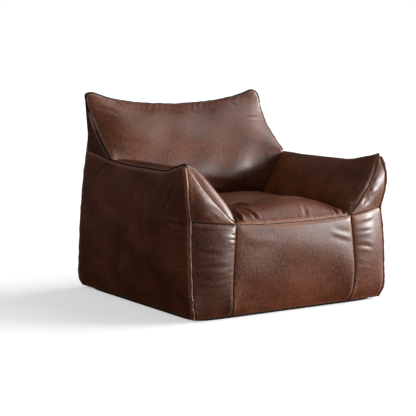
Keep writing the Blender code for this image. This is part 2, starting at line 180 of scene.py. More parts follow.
floor_mesh = bpy.data.meshes.new("paper_floor")
corners = [(x * FLOOR_HALF, y * FLOOR_HALF, 0.0) for x, y in ((-1, -1), (1, -1), (1, 1), (-1, 1))]
floor_mesh.from_pydata(corners, [], [(0, 1, 2, 3)])
floor = bpy.data.objects.new("paper_floor", floor_mesh)
bpy.context.scene.collection.objects.link(floor)
floor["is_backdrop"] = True

def by_ray(tree, seen, to_gleam, to_colour):
    """A shader for camera rays, one for the rays of a gleam, and one for all the rest, as flags and screens do it in
    a studio."""
    ray = add(tree, "ShaderNodeLightPath").outputs
    lit = add(tree, "ShaderNodeMixShader", {0: ray["Is Glossy Ray"], 1: to_colour, 2: to_gleam}).outputs[0]
    return add(tree, "ShaderNodeMixShader", {0: ray["Is Camera Ray"], 1: lit, 2: seen}).outputs[0]


floor_paint, tree, shader, _ = material("paper")
tree.nodes.remove(shader)
fill, gloss, eye = (
    add(tree, "ShaderNodeBsdfDiffuse", {"Color": grey(g)}).outputs[0] for g in (FLOOR_FILL, FLOOR_GLOSS, FLOOR_SEEN)
)
lift = add(tree, "ShaderNodeEmission", {"Color": grey(1.0), "Strength": FLOOR_LIFT}).outputs[0]
lifted = add(tree, "ShaderNodeAddShader", {0: eye, 1: lift}).outputs[0]
tree.links.new(by_ray(tree, lifted, gloss, fill), tree.nodes["Material Output"].inputs["Surface"])
floor_mesh.materials.append(floor_paint)


def lamp(name, shines_from, strength, angle):
    """A sun that shines from this direction, as wide across as the angle in degrees."""
    data = bpy.data.lights.new(name, "SUN")
    data.energy = strength
    data.angle = math.radians(angle)
    obj = bpy.data.objects.new(name, data)
    x, y, z = np.array(shines_from) / np.linalg.norm(shines_from)
    obj.rotation_euler = (math.acos(z), 0.0, math.atan2(x, -y))
    bpy.context.scene.collection.objects.link(obj)


for name, (shines_from, strength, angle) in LAMPS.items():
    lamp(name, shines_from, strength, angle)

world = bpy.data.worlds.new("studio")
world.use_nodes = True
bpy.context.scene.world = world
tree = world.node_tree
tree.nodes.clear()
paper, gloss, fill = (
    add(tree, "ShaderNodeBackground", {"Strength": strength}).outputs[0] for strength in (1.0, ROOM_GLOSS, ROOM_FILL)
)
for node in tree.nodes:
    node.inputs["Color"].default_value = grey(1.0)
add(tree, "ShaderNodeOutputWorld", {0: by_ray(tree, paper, gloss, fill)})
print(len(LAMPS), "lamps, a floor and a pale room")

# %% [markdown]
# ## Seams
#
# A sewn cover is settled by its seams: once they are in the right place, each panel is only the leather between them.
# So each seam is a smooth curve through a few points, given as a number of stitches' worth of steps. Two panels that
# share a seam share its points exactly. The places come from the frame's boxes: the whole chair's for the outside,
# and the zip slider's for the zip's height; the points that lie inside it are given as numbers.


# %% Curve helpers
def smooth(*points, steps=16):
    """A curve through the points: cubic Hermite spans, each tangent the average of the slopes on both sides of its
    point, weighted by the square root of the spacing, which keeps tight corners from overshooting."""
    p = np.array(points, float)
    if len(p) == 2:
        return p[0] + (p[1] - p[0]) * np.linspace(0, 1, steps + 1)[:, None]
    gap = np.sqrt(np.linalg.norm(np.diff(p, axis=0), axis=1))[:, None]
    slope = np.diff(p, axis=0) / gap
    inner = (slope[:-1] * gap[1:] + slope[1:] * gap[:-1]) / (gap[:-1] + gap[1:])
    tangent = np.vstack([slope[:1], inner, slope[-1:]])
    t = np.linspace(0, 1, steps, endpoint=False)[None, :, None]
    here, there = p[:-1, None], p[1:, None]
    leave, arrive = (gap * tangent[:-1])[:, None], (gap * tangent[1:])[:, None]
    spans = (
        (2 * t**3 - 3 * t**2 + 1) * here
        + (t**3 - 2 * t**2 + t) * leave
        + (3 * t**2 - 2 * t**3) * there
        + (t**3 - t**2) * arrive
    )
    return np.vstack([spans.reshape(-1, 3), p[-1:]])


def travelled(line):
    """The distance along a line of points, from its start to each point."""
    return np.concatenate([[0], np.cumsum(np.linalg.norm(np.diff(line, axis=0), axis=1))])


def evenly(curve, count):
    """count + 1 points along the curve, at equal distances."""
    at = travelled(curve)
    want = np.linspace(0, at[-1], count + 1)
    return np.stack([np.interp(want, at, curve[:, k]) for k in range(3)], axis=-1)


def joined(*curves):
    """Curves that follow one another as one, without the shared points twice."""
    return np.vstack([curves[0], *[c[1:] for c in curves[1:]]])


MIRROR = np.array([-1.0, 1.0, 1.0])

# %% Places where seams meet, on the +X side
HALF_X, FRONT_Y, REAR_Y, TOP_Z = CAD_HIGH[0], CAD_LOW[1], CAD_HIGH[1], CAD_HIGH[2]
ARM_Z = 0.665 * TOP_Z  # along the middle of an arm's top
SEAT_Z = 0.429 * TOP_Z  # along the seat's front edge
SHOULDER_Z = 0.707 * TOP_Z  # the level seam round the rear
FOOT_Z = 0.006

EAR = (HALF_X - 0.0345, REAR_Y - 0.043, TOP_Z - 0.0095)
ARM_JOINT = (HALF_X - 0.033, 0.177, ARM_Z + 0.007)
ARM_TIP = (HALF_X - 0.0085, FRONT_Y + 0.058, ARM_Z + 0.030)
SEAT_CORNER = (0.230, FRONT_Y + 0.012, SEAT_Z)
KINK = (HALF_X - 0.020, FRONT_Y + 0.041, SEAT_Z + 0.017)
SHOULDER = (HALF_X - 0.042, REAR_Y - 0.038, SHOULDER_Z)
INNER_CORNER = (0.262, 0.165, SEAT_Z + 0.008)
FRONT_FOOT = (HALF_X - 0.030, FRONT_Y + 0.036, FOOT_Z)
SEAM_FOOT = (0.236, FRONT_Y + 0.034, FOOT_Z)
REAR_FOOT = (HALF_X - 0.029, REAR_Y - 0.029, FOOT_Z)
ZIP_Z = float(sum(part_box("zip_slider")[i][2] for i in (0, 1)) / 2)
ZIP_END = (HALF_X - 0.0145, REAR_Y - 0.017, ZIP_Z)
ZIP_FACE_Y = REAR_Y - 0.009
print("ears at", np.round(EAR, 3), "arm tips at", np.round(ARM_TIP, 3))

# %% Seams, on the +X side
CELL = 0.0125


def cells(distance):
    """How many cells of leather fit along this distance."""
    return max(4, round(distance / CELL))


ACROSS, ARM_RUN, ARM_DROP, GUSSET = cells(0.68), cells(0.545), cells(0.235), cells(0.150)
FRONT_DROP, SHOULDER_RUN, WING_DROP = cells(0.305), cells(0.187), cells(0.250)
HEM_DROP = cells(0.068)
REAR_DROP = ARM_DROP + FRONT_DROP - HEM_DROP

SEAMS = {
    "back_top": (
        ACROSS // 2,
        (0, REAR_Y - 0.042, TOP_Z - 0.052),
        (0.170, REAR_Y - 0.042, TOP_Z - 0.042),
        (0.285, REAR_Y - 0.042, TOP_Z - 0.022),
        (0.345, REAR_Y - 0.043, TOP_Z - 0.0035),
        EAR,
    ),
    "back_side": (
        WING_DROP,
        EAR,
        (0.3710, REAR_Y - 0.050, TOP_Z - 0.028),
        (0.366, 0.311, 0.595),
        (0.366, 0.235, 0.520),
        ARM_JOINT,
    ),
    "arm_top": (
        ARM_RUN,
        ARM_JOINT,
        (0.378, 0.030, ARM_Z),
        (0.379, -0.110, ARM_Z - 0.001),
        (0.381, -0.210, ARM_Z),
        (0.387, -0.290, ARM_Z + 0.018),
        ARM_TIP,
    ),
    "arm_front": (ARM_DROP, ARM_TIP, (0.345, -0.366, 0.420), (0.286, -0.380, 0.354), SEAT_CORNER),
    "corner_upper": (ARM_DROP, ARM_TIP, (0.3955, -0.364, 0.450), (0.3950, -0.368, 0.390), KINK),
    "corner_lower": (
        FRONT_DROP,
        KINK,
        (0.386, -0.368, 0.220),
        (0.386, -0.374, 0.120),
        (0.384, -0.377, 0.045),
        FRONT_FOOT,
    ),
    "arm_base": (GUSSET, SEAT_CORNER, (0.305, -0.384, SEAT_Z + 0.009), KINK),
    "seat_front": (
        ACROSS // 2,
        (0, FRONT_Y + 0.006, SEAT_Z - 0.006),
        (0.115, FRONT_Y + 0.008, SEAT_Z - 0.005),
        SEAT_CORNER,
    ),
    "front_plain": (
        FRONT_DROP,
        SEAT_CORNER,
        (0.240, -0.392, 0.200),
        (0.246, -0.394, 0.100),
        (0.241, -0.387, 0.035),
        SEAM_FOOT,
    ),
    "rear_upper": (WING_DROP, EAR, (0.3525, 0.366, 0.600), (0.350, 0.365, 0.550), SHOULDER),
    "rear_lower": (
        REAR_DROP,
        SHOULDER,
        (0.370, 0.366, 0.400),
        (0.379, 0.374, 0.270),
        (0.384, 0.380, 0.130),
        ZIP_END,
    ),
    "rear_hem": (HEM_DROP, ZIP_END, (0.384, 0.382, 0.035), REAR_FOOT),
    "shoulder_side": (SHOULDER_RUN, SHOULDER, (0.366, 0.270, 0.487), ARM_JOINT),
    "shoulder_rear": (
        ACROSS // 2,
        (0, 0.380, SHOULDER_Z - 0.005),
        (0.200, 0.374, SHOULDER_Z - 0.004),
        SHOULDER,
    ),
    "inner_upright": (ARM_DROP, ARM_JOINT, (0.325, 0.165, 0.400), (0.275, 0.162, 0.330), INNER_CORNER),
    "seat_side": (ARM_RUN, INNER_CORNER, (0.258, -0.020, 0.306), (0.252, -0.200, 0.303), SEAT_CORNER),
    "seat_rear": (ACROSS // 2, (0, 0.175, SEAT_Z + 0.008), INNER_CORNER),
    "zip_line": (ACROSS // 2, (0, ZIP_FACE_Y, ZIP_Z), (0.310, ZIP_FACE_Y, ZIP_Z), ZIP_END),
    "foot_front": (ACROSS // 2, (0, SEAM_FOOT[1], FOOT_Z), SEAM_FOOT),
    "foot_gusset": (GUSSET, SEAM_FOOT, FRONT_FOOT),
    "foot_side": (ARM_RUN + SHOULDER_RUN, FRONT_FOOT, REAR_FOOT),
    "foot_rear": (ACROSS // 2, (0, REAR_FOOT[1], FOOT_Z), REAR_FOOT),
}
seam = {name: evenly(smooth(*points), count) for name, (count, *points) in SEAMS.items()}


def whole(name):
    """A seam that starts on the chair's middle plane, run from its -X end to its +X end."""
    return joined(seam[name][::-1] * MIRROR, seam[name])


print(len(seam), "seams,", round(sum(travelled(s)[-1] for s in seam.values()), 2), "m on the +X side")

# %% [markdown]
# ## Panels
#
# Between four seams a panel is a Coons patch: the blend of its bottom edge to its top edge, plus the blend of its left
# edge to its right edge, less the blend of the corners, which both of them hold. A crown is added along the panel's
# outward side, because beads push it out. Two panels are triangles, and one edge of theirs is a single point.


# %% Panel surfaces
def eased(edge):
    """The edge with its bends drawn out: the average of each point's two neighbours, over and over, ends kept."""
    for _ in range(len(edge) ** 2 // 12):
        edge = np.vstack([edge[:1], (edge[:-2] + edge[2:]) / 2, edge[-1:]])
    return edge


def coons(bottom, top, left, right):
    """A grid of points [row][column][xyz] between four edges that share their corners. A sharp bend in the left or
    right edge fades within a tenth of the way across, since leather doesn't carry it over a whole panel."""
    u = np.linspace(0, 1, len(bottom))[None, :, None]
    v = np.linspace(0, 1, len(left))[:, None, None]
    across = (1 - v) * bottom[None] + v * top[None]
    easy_left, easy_right = eased(left), eased(right)
    up = (1 - u) * easy_left[:, None] + u * easy_right[:, None]
    up = up + np.exp(-u / 0.10) * (left - easy_left)[:, None] + np.exp(-(1 - u) / 0.10) * (right - easy_right)[:, None]
    ends = (1 - u) * (1 - v) * bottom[0] + u * (1 - v) * bottom[-1] + (1 - u) * v * top[0] + u * v * top[-1]
    return across + up - ends


def crowned(grid, height, outward, lean=1.0, power=0.6):
    """The grid pushed along outward by height times (4u(1-u) 4v(1-v)) to the power: flat-topped below 1. v is first
    raised to the power lean, which below 1 brings the fullest part nearer to the bottom edge."""
    u = np.linspace(0, 1, grid.shape[1])[None, :]
    v = np.linspace(0, 1, grid.shape[0])[:, None] ** lean
    swell = (16 * u * (1 - u) * v * (1 - v)) ** power
    return grid + height * swell[..., None] * np.array(outward)


PANELS = {}  # name: (grid, how much wider than its seams the leather is cut)


def panel(name, edges, height, outward, slack, flip=False, lean=1.0):
    """Makes a panel's grid. flip turns the columns round, so that rows by columns always face out."""
    grid = crowned(coons(*edges), height, outward, lean)
    PANELS[name] = (grid[:, ::-1] if flip else grid, slack)


def both_sides(name, edges, height, outward, slack, flip=False):
    """A panel on the +X side and its mirror image on the other."""
    panel(f"{name}_right", edges, height, outward, slack, flip)
    grid, _ = PANELS[f"{name}_right"]
    PANELS[f"{name}_left"] = (grid[:, ::-1] * MIRROR, slack)


def point(place, count):
    """A point as an edge of a triangular panel."""
    return np.repeat(np.array([place], float), count + 1, axis=0)


back_edge = joined(seam["inner_upright"][::-1], seam["back_side"][::-1])
seat_edge = seam["seat_side"][::-1]
plain_edge = seam["front_plain"][::-1]
panel(
    "back_front_panel",
    (whole("seat_rear"), whole("back_top"), back_edge * MIRROR, back_edge),
    0.036,
    (0, -0.88, 0.47),
    0.006,
    lean=0.7,
)
seat_edges = (whole("seat_front"), whole("seat_rear"), seat_edge * MIRROR, seat_edge)
panel("seat_panel", seat_edges, 0.036, (0, 0, 1), 0.003, lean=0.5)
panel("front_panel", (whole("foot_front"), whole("seat_front"), plain_edge * MIRROR, plain_edge), 0.008, (0, -1, 0), 0.002)
for name, low, high, side, height, slack in (
    ("rear_upper_panel", "shoulder_rear", "back_top", "rear_upper", 0.006, 0.004),
    ("rear_lower_panel", "zip_line", "shoulder_rear", "rear_lower", 0.004, 0.002),
    ("rear_hem_panel", "foot_rear", "zip_line", "rear_hem", 0.004, 0.001),
):
    edge = seam[side][::-1]
    panel(name, (whole(low), whole(high), edge * MIRROR, edge), height, (0, 1, 0), slack, flip=True)

both_sides(
    "side_panel",
    (
        seam["foot_side"],
        joined(seam["arm_top"][::-1], seam["shoulder_side"][::-1]),
        joined(seam["corner_upper"], seam["corner_lower"])[::-1],
        joined(seam["rear_lower"], seam["rear_hem"])[::-1],
    ),
    0.004,
    (1, 0, 0),
    0.002,
)
both_sides(
    "arm_inner_panel",
    (seam["seat_side"], seam["arm_top"], seam["inner_upright"][::-1], seam["arm_front"][::-1]),
    0.036,
    (-0.70, 0, 0.72),
    0.006,
)
both_sides(
    "arm_front_panel",
    (point(ARM_TIP, GUSSET), seam["arm_base"], seam["arm_front"], seam["corner_upper"]),
    0.004,
    (0.15, -1, 0),
    0.008,
    flip=True,
)
both_sides(
    "front_gusset",
    (seam["foot_gusset"], seam["arm_base"], plain_edge, seam["corner_lower"][::-1]),
    0.009,
    (0.1, -1, 0),
    0.008,
)
both_sides(
    "back_wing_panel",
    (point(EAR, SHOULDER_RUN), seam["shoulder_side"][::-1], seam["back_side"], seam["rear_upper"]),
    0.004,
    (1, 0, 0),
    0.006,
    flip=True,
)
print(len(PANELS), "panels,", sum(g.shape[0] * g.shape[1] for g, _ in PANELS.values()), "points")

# %% [markdown]
# ## The cover, inflated as cloth
#
# All the panels are sewn into one sheet and filled with pressure. The seams are held where the pattern puts them.
# The leather between them is cut a little wider than the gap it spans, so it swells, and where it is eased onto a
# shorter seam it puckers, as the real cover does along the back's top. Blender's cloth does this with its shrink
# factor below zero.


# %% Sewing the panels together
def grid_faces(rows, columns, start=0):
    """The quads of a grid of points, as indices, turning anticlockwise seen from the side that faces out."""
    index = start + np.arange(rows * columns).reshape(rows, columns)
    return np.stack([index[:-1, :-1], index[:-1, 1:], index[1:, 1:], index[1:, :-1]], axis=-1).reshape(-1, 4)


def faces_as_lists(quads):
    """Quads as lists for Blender, with a point that comes twice dropped, which makes a triangle."""
    repeated = (np.diff(np.sort(quads, axis=1), axis=1) == 0).any(axis=1)
    return [q for q in quads[~repeated].tolist()] + [
        list(dict.fromkeys(q)) for q in quads[repeated].tolist() if len(set(q)) > 2
    ]


def sew(grids):
    """All grids as one mesh: its points, its quads, and each grid's point numbers. Equal points become one."""
    points = np.vstack([g.reshape(-1, 3) for g in grids])
    starts = np.cumsum([0] + [g.shape[0] * g.shape[1] for g in grids])
    quads = np.vstack([grid_faces(*g.shape[:2], start) for g, start in zip(grids, starts)])
    _, first, index = np.unique(np.round(points, 6), axis=0, return_index=True, return_inverse=True)
    index = index.reshape(-1)
    numbers = [index[a:b].reshape(g.shape[:2]) for g, a, b in zip(grids, starts, starts[1:])]
    return points[first], index[quads], numbers


names = list(PANELS)
cover_points, cover_quads, numbers = sew([PANELS[n][0] for n in names])
NEEDLE = 0.0035  # cells narrower than this are held, at the tips of the triangles
held = np.zeros(len(cover_points), bool)
slack = np.zeros(len(cover_points))
for name, number in zip(names, numbers):
    grid, cut = PANELS[name]
    for edge in (number[0], number[-1], number[:, 0], number[:, -1]):
        held[edge] = True
    narrow = np.linalg.norm(np.diff(grid, axis=1), axis=2).mean(axis=1) < NEEDLE
    held[number[narrow]] = True
    slack[number] = cut
print(len(cover_points), "points sewn,", int(held.sum()), "of them held on seams")

# %% Inflating it
FRAMES = 20
PRESSURE = 10.0


def inflate(points, quads, held, slack):
    """The points after the cloth has settled under pressure, its held points still, its edges longer by slack."""
    mesh = bpy.data.meshes.new("sewn_cover")
    mesh.from_pydata(points.tolist(), [], faces_as_lists(quads))
    obj = bpy.data.objects.new("sewn_cover", mesh)
    bpy.context.scene.collection.objects.link(obj)
    seams = obj.vertex_groups.new(name="seams")
    seams.add(np.flatnonzero(held).tolist(), 1.0, "REPLACE")
    tight = obj.vertex_groups.new(name="tight")
    most = float(slack.max())
    for value in np.unique(slack):
        tight.add(np.flatnonzero(slack == value).tolist(), 1.0 - float(value) / most, "REPLACE")
    cloth = obj.modifiers.new("cloth", "CLOTH")
    settings = cloth.settings
    settings.quality = 5
    settings.mass = 0.25
    settings.tension_stiffness = 40.0
    settings.compression_stiffness = 40.0
    settings.shear_stiffness = 20.0
    settings.bending_stiffness = 4.0
    settings.tension_damping = settings.compression_damping = 15.0
    settings.shear_damping = 15.0
    settings.air_damping = 3.0
    settings.vertex_group_mass = "seams"
    settings.pin_stiffness = 1.0
    settings.use_pressure = True
    settings.uniform_pressure_force = PRESSURE
    settings.vertex_group_shrink = "tight"
    settings.shrink_max = 0.0
    settings.shrink_min = -most
    settings.effector_weights.gravity = 0.0
    cloth.collision_settings.use_collision = False
    cloth.point_cache.frame_start = 1
    cloth.point_cache.frame_end = FRAMES
    for number in range(1, FRAMES + 1):
        bpy.context.scene.frame_set(number)
    graph = bpy.context.evaluated_depsgraph_get()
    settled = np.empty(len(points) * 3, np.float32)
    obj.evaluated_get(graph).data.vertices.foreach_get("co", settled)
    bpy.data.objects.remove(obj)
    bpy.data.meshes.remove(mesh)
    bpy.context.scene.frame_set(1)
    return settled.reshape(-1, 3).astype(float)


settled = inflate(cover_points, cover_quads, held, slack)
moved = np.linalg.norm(settled - cover_points, axis=1)
print("the leather moved by", round(1000 * float(moved.mean()), 1), "mm on average, at most", round(1000 * moved.max(), 1))

# %% [markdown]
# ## Finer leather
#
# The cloth's cells are too coarse for a crease, so each panel is read again on a finer grid: four lines to a cell,
# and closer still beside the seams, where the leather turns down most sharply. A cubic through the nearest four points
# keeps it smooth. The distances to the four edges, measured along the leather, then steer everything else.


# %% Refining
def positions(count):
    """Places to read along an edge of so many cells: four to a cell, and closer near both ends."""
    near = np.array([0, 0.12, 0.26, 0.42, 0.6, 0.8, 1.0, 1.25, 1.5, 1.75])
    return np.concatenate([near, np.arange(2, count - 2 + 0.01, 0.25), (count - near)[::-1]])


def read_at(grid, at, axis):
    """The grid at places along an axis, given in cells, by the Catmull-Rom cubic through the four nearest points."""
    g = np.moveaxis(grid, axis, 0)
    g = np.concatenate([2 * g[:1] - g[1:2], g, 2 * g[-1:] - g[-2:-1]])
    i = np.minimum(at.astype(int), len(g) - 4)
    t = (at - i).reshape(-1, *[1] * (g.ndim - 1))
    a, b, c, d = g[i], g[i + 1], g[i + 2], g[i + 3]
    cubic = b + 0.5 * t * (c - a + t * (2 * a - 5 * b + 4 * c - d + t * (3 * (b - c) + d - a)))
    return np.moveaxis(cubic, 0, axis)


def finer(grid):
    rows, columns = grid.shape[0] - 1, grid.shape[1] - 1
    return read_at(read_at(grid, positions(rows), 0), positions(columns), 1)


def normals_of(grid):
    """The outward unit normal at each point of a grid: along the columns crossed with along the rows."""
    n = np.cross(np.gradient(grid, axis=1), np.gradient(grid, axis=0))
    return n / np.maximum(np.linalg.norm(n, axis=-1, keepdims=True), 1e-12)


BOTTOM, TOP, LEFT, RIGHT = range(4)


def edge_distances(grid):
    """How far each point is from the panel's bottom, top, left and right edges, measured along the leather."""
    up = np.cumsum(np.linalg.norm(np.diff(grid, axis=0), axis=2), axis=0)
    across = np.cumsum(np.linalg.norm(np.diff(grid, axis=1), axis=2), axis=1)
    up = np.vstack([np.zeros((1, grid.shape[1])), up])
    across = np.hstack([np.zeros((grid.shape[0], 1)), across])
    return np.stack([up, up[-1:] - up, across, across[:, -1:] - across])


TAUT = {"front_panel": 60, "back_front_panel": 32, "seat_panel": 12, "front_gusset_left": 12, "front_gusset_right": 30,
        "arm_front_panel_right": 24}


def pulled_taut(grid, times):
    """The grid after each inner point has gone halfway to the mean of its four neighbours, so many times over, as
    stretched leather pulls its small folds out. The sewn edges stay."""
    for _ in range(times):
        around = grid[:-2, 1:-1] + grid[2:, 1:-1] + grid[1:-1, :-2] + grid[1:-1, 2:]
        grid[1:-1, 1:-1] = grid[1:-1, 1:-1] / 2 + around / 8
    return grid


leather = {name: finer(pulled_taut(settled[number], TAUT.get(name, 14))) for name, number in zip(names, numbers)}
print(sum(g.shape[0] * g.shape[1] for g in leather.values()), "points on the leather")

# %% [markdown]
# ## Seams' valleys, puckers and creases
#
# A filled panel stands up steeply beside its seam, like a pillow, so the height beside a seam follows
# 1 - exp(-distance / reach). Where the leather is eased into the seam it puckers: a few sines along the seam that
# fade inwards. The larger creases are placed one by one where the cover folds when someone sits down: each follows a
# short path over a panel, and across the path it is a ridge with a hollow on both sides, (1 - x^2) exp(-x^2 / 2).


# %% Relief helpers
def valley(apart, height, reach, deep=()):
    """The height beside the seams: one factor of 1 - exp(-distance / reach) for each edge, and its own reach for the
    edges that deep names."""
    total = np.full(apart.shape[1:], height)
    for edge in range(4):
        total *= 1 - np.exp(-apart[edge] / dict(deep).get(edge, reach))
    return total


def puckers(apart, edge, height, wave, reach, seed, slant=0.0):
    """Gathers that run out from an edge: sines of about this wave along it, strong in places and weak in others, that
    start at the seam and fade over the reach. slant leans them along the edge."""
    away = apart[edge]
    along = (apart[LEFT] if edge in (BOTTOM, TOP) else apart[BOTTOM]) + slant * away
    chance = np.random.default_rng(seed)
    sines = sum(
        chance.uniform(0.5, 1.0) * np.sin(2 * np.pi * (along / (wave * chance.uniform(0.6, 1.7)) + chance.uniform()))
        for _ in range(5)
    )
    strong = 0.55 + 0.45 * np.sin(2 * np.pi * (along / (wave * 6.3) + chance.uniform()))
    fade = (1 - np.exp(-away / 0.004)) * np.exp(-((away / reach) ** 1.4))
    return 0.25 * height * sines * strong * fade


def crease(grid, path, height, width):
    """A crease along a path of points: its height times (1 - x^2) exp(-x^2 / 2) across it, where x is the distance
    from the path over the width, and fading to its ends as the sine of the share travelled."""
    path = evenly(smooth(*path, steps=8), 12)
    start, run = path[:-1], np.diff(path, axis=0)
    off = grid[..., None, :] - start
    share = np.clip((off * run).sum(-1) / (run**2).sum(-1), 0, 1)
    apart = np.linalg.norm(off - share[..., None] * run, axis=-1)
    best = apart.argmin(-1)[..., None]
    x = np.take_along_axis(apart, best, -1)[..., 0] / width
    travelled_share = (best + np.take_along_axis(share, best, -1))[..., 0] / len(run)
    return height * (1 - x**2) * np.exp(-(x**2) / 2) * np.sin(np.pi * travelled_share) ** 0.7


def swells(grid, height, size, seed):
    """Uneven filling: soft swells of about this size, a product of sines in three directions."""
    chance = np.random.default_rng(seed)
    total = np.zeros(grid.shape[:-1])
    for _ in range(6):
        way = chance.normal(size=3)
        way /= np.linalg.norm(way) * size * chance.uniform(0.7, 1.5)
        total += np.sin(2 * np.pi * (grid @ way + chance.uniform()))
    return height * total / 2.5


print("relief helpers ready")

# %% Where the leather puckers and creases
MM = 0.001
EASED = {  # panel: edge, height, wave, reach, seed, slant
    "back_front_panel": (
        (TOP, 1.6 * MM, 0.026, 0.040, 1, 0.6),
        (LEFT, 1.4 * MM, 0.030, 0.045, 2, 0.2),
        (RIGHT, 1.2 * MM, 0.028, 0.040, 3, 0.2),
        (BOTTOM, 1.0 * MM, 0.040, 0.050, 4, 0.0),
    ),
    "seat_panel": (
        (BOTTOM, 0.9 * MM, 0.030, 0.040, 5, 0.0),
        (LEFT, 1.6 * MM, 0.034, 0.050, 6, 0.3),
        (RIGHT, 1.6 * MM, 0.034, 0.050, 7, 0.3),
    ),
    "front_panel": ((LEFT, 0.5 * MM, 0.018, 0.020, 9, 0.0), (RIGHT, 0.5 * MM, 0.018, 0.020, 8, 0.0)),
    "side_panel_left": (
        (TOP, 1.3 * MM, 0.042, 0.100, 10, -0.9),
        (LEFT, 1.0 * MM, 0.045, 0.070, 11, 0.1),
        (RIGHT, 1.0 * MM, 0.045, 0.055, 12, -0.1),
    ),
    "side_panel_right": (
        (TOP, 1.3 * MM, 0.042, 0.100, 13, 0.9),
        (LEFT, 1.0 * MM, 0.045, 0.070, 14, 0.1),
        (RIGHT, 1.0 * MM, 0.045, 0.055, 15, -0.1),
    ),
    "arm_inner_panel_left": ((TOP, 1.0 * MM, 0.040, 0.040, 16, 0.5), (LEFT, 0.4 * MM, 0.034, 0.040, 17, 0.2)),
    "arm_inner_panel_right": ((TOP, 0.8 * MM, 0.040, 0.040, 18, -0.5), (LEFT, 0.7 * MM, 0.030, 0.045, 19, 0.2)),
    "arm_front_panel_left": ((LEFT, 0.4 * MM, 0.030, 0.035, 20, 0.1), (RIGHT, 0.4 * MM, 0.030, 0.035, 21, 0.1)),
    "arm_front_panel_right": ((LEFT, 0.5 * MM, 0.030, 0.040, 22, 0.1), (RIGHT, 0.5 * MM, 0.030, 0.040, 23, 0.1)),
    "front_gusset_left": ((LEFT, 0.3 * MM, 0.030, 0.050, 24, 0.0), (RIGHT, 0.5 * MM, 0.014, 0.035, 25, 0.05)),
    "front_gusset_right": ((LEFT, 0.2 * MM, 0.022, 0.035, 26, 0.05), (RIGHT, 0.3 * MM, 0.034, 0.050, 27, 0.0)),
    "back_wing_panel_left": ((RIGHT, 0.9 * MM, 0.030, 0.035, 28, 0.2), (LEFT, 0.9 * MM, 0.030, 0.035, 29, 0.2)),
    "back_wing_panel_right": ((RIGHT, 0.9 * MM, 0.030, 0.035, 30, 0.2), (LEFT, 0.9 * MM, 0.030, 0.035, 31, 0.2)),
    "rear_upper_panel": ((TOP, 1.2 * MM, 0.034, 0.045, 32, 0.3), (BOTTOM, 0.9 * MM, 0.045, 0.045, 33, 0.0)),
    "rear_lower_panel": ((TOP, 0.8 * MM, 0.045, 0.045, 34, 0.0), (BOTTOM, 0.7 * MM, 0.030, 0.030, 35, 0.0)),
}
DEEP = {  # the edges where a panel meets its neighbour at the foot of a slope, and how gently it rises there
    "back_front_panel": {BOTTOM: 0.020},
    "seat_panel": {TOP: 0.016, LEFT: 0.014, RIGHT: 0.014, BOTTOM: 0.010},
    "arm_inner_panel_left": {BOTTOM: 0.014, TOP: 0.009, LEFT: 0.009, RIGHT: 0.009},
    "arm_inner_panel_right": {BOTTOM: 0.014, TOP: 0.009, LEFT: 0.007, RIGHT: 0.009},
}
FULLNESS = {"arm_front_panel_right": 0.003, "arm_inner_panel_left": 0.027, "arm_inner_panel_right": 0.014, "seat_panel": 0.012, "back_front_panel": 0.009}
SWELL_MM = {"front_panel": 1.5, "seat_panel": 2.5, "back_front_panel": 1.6}
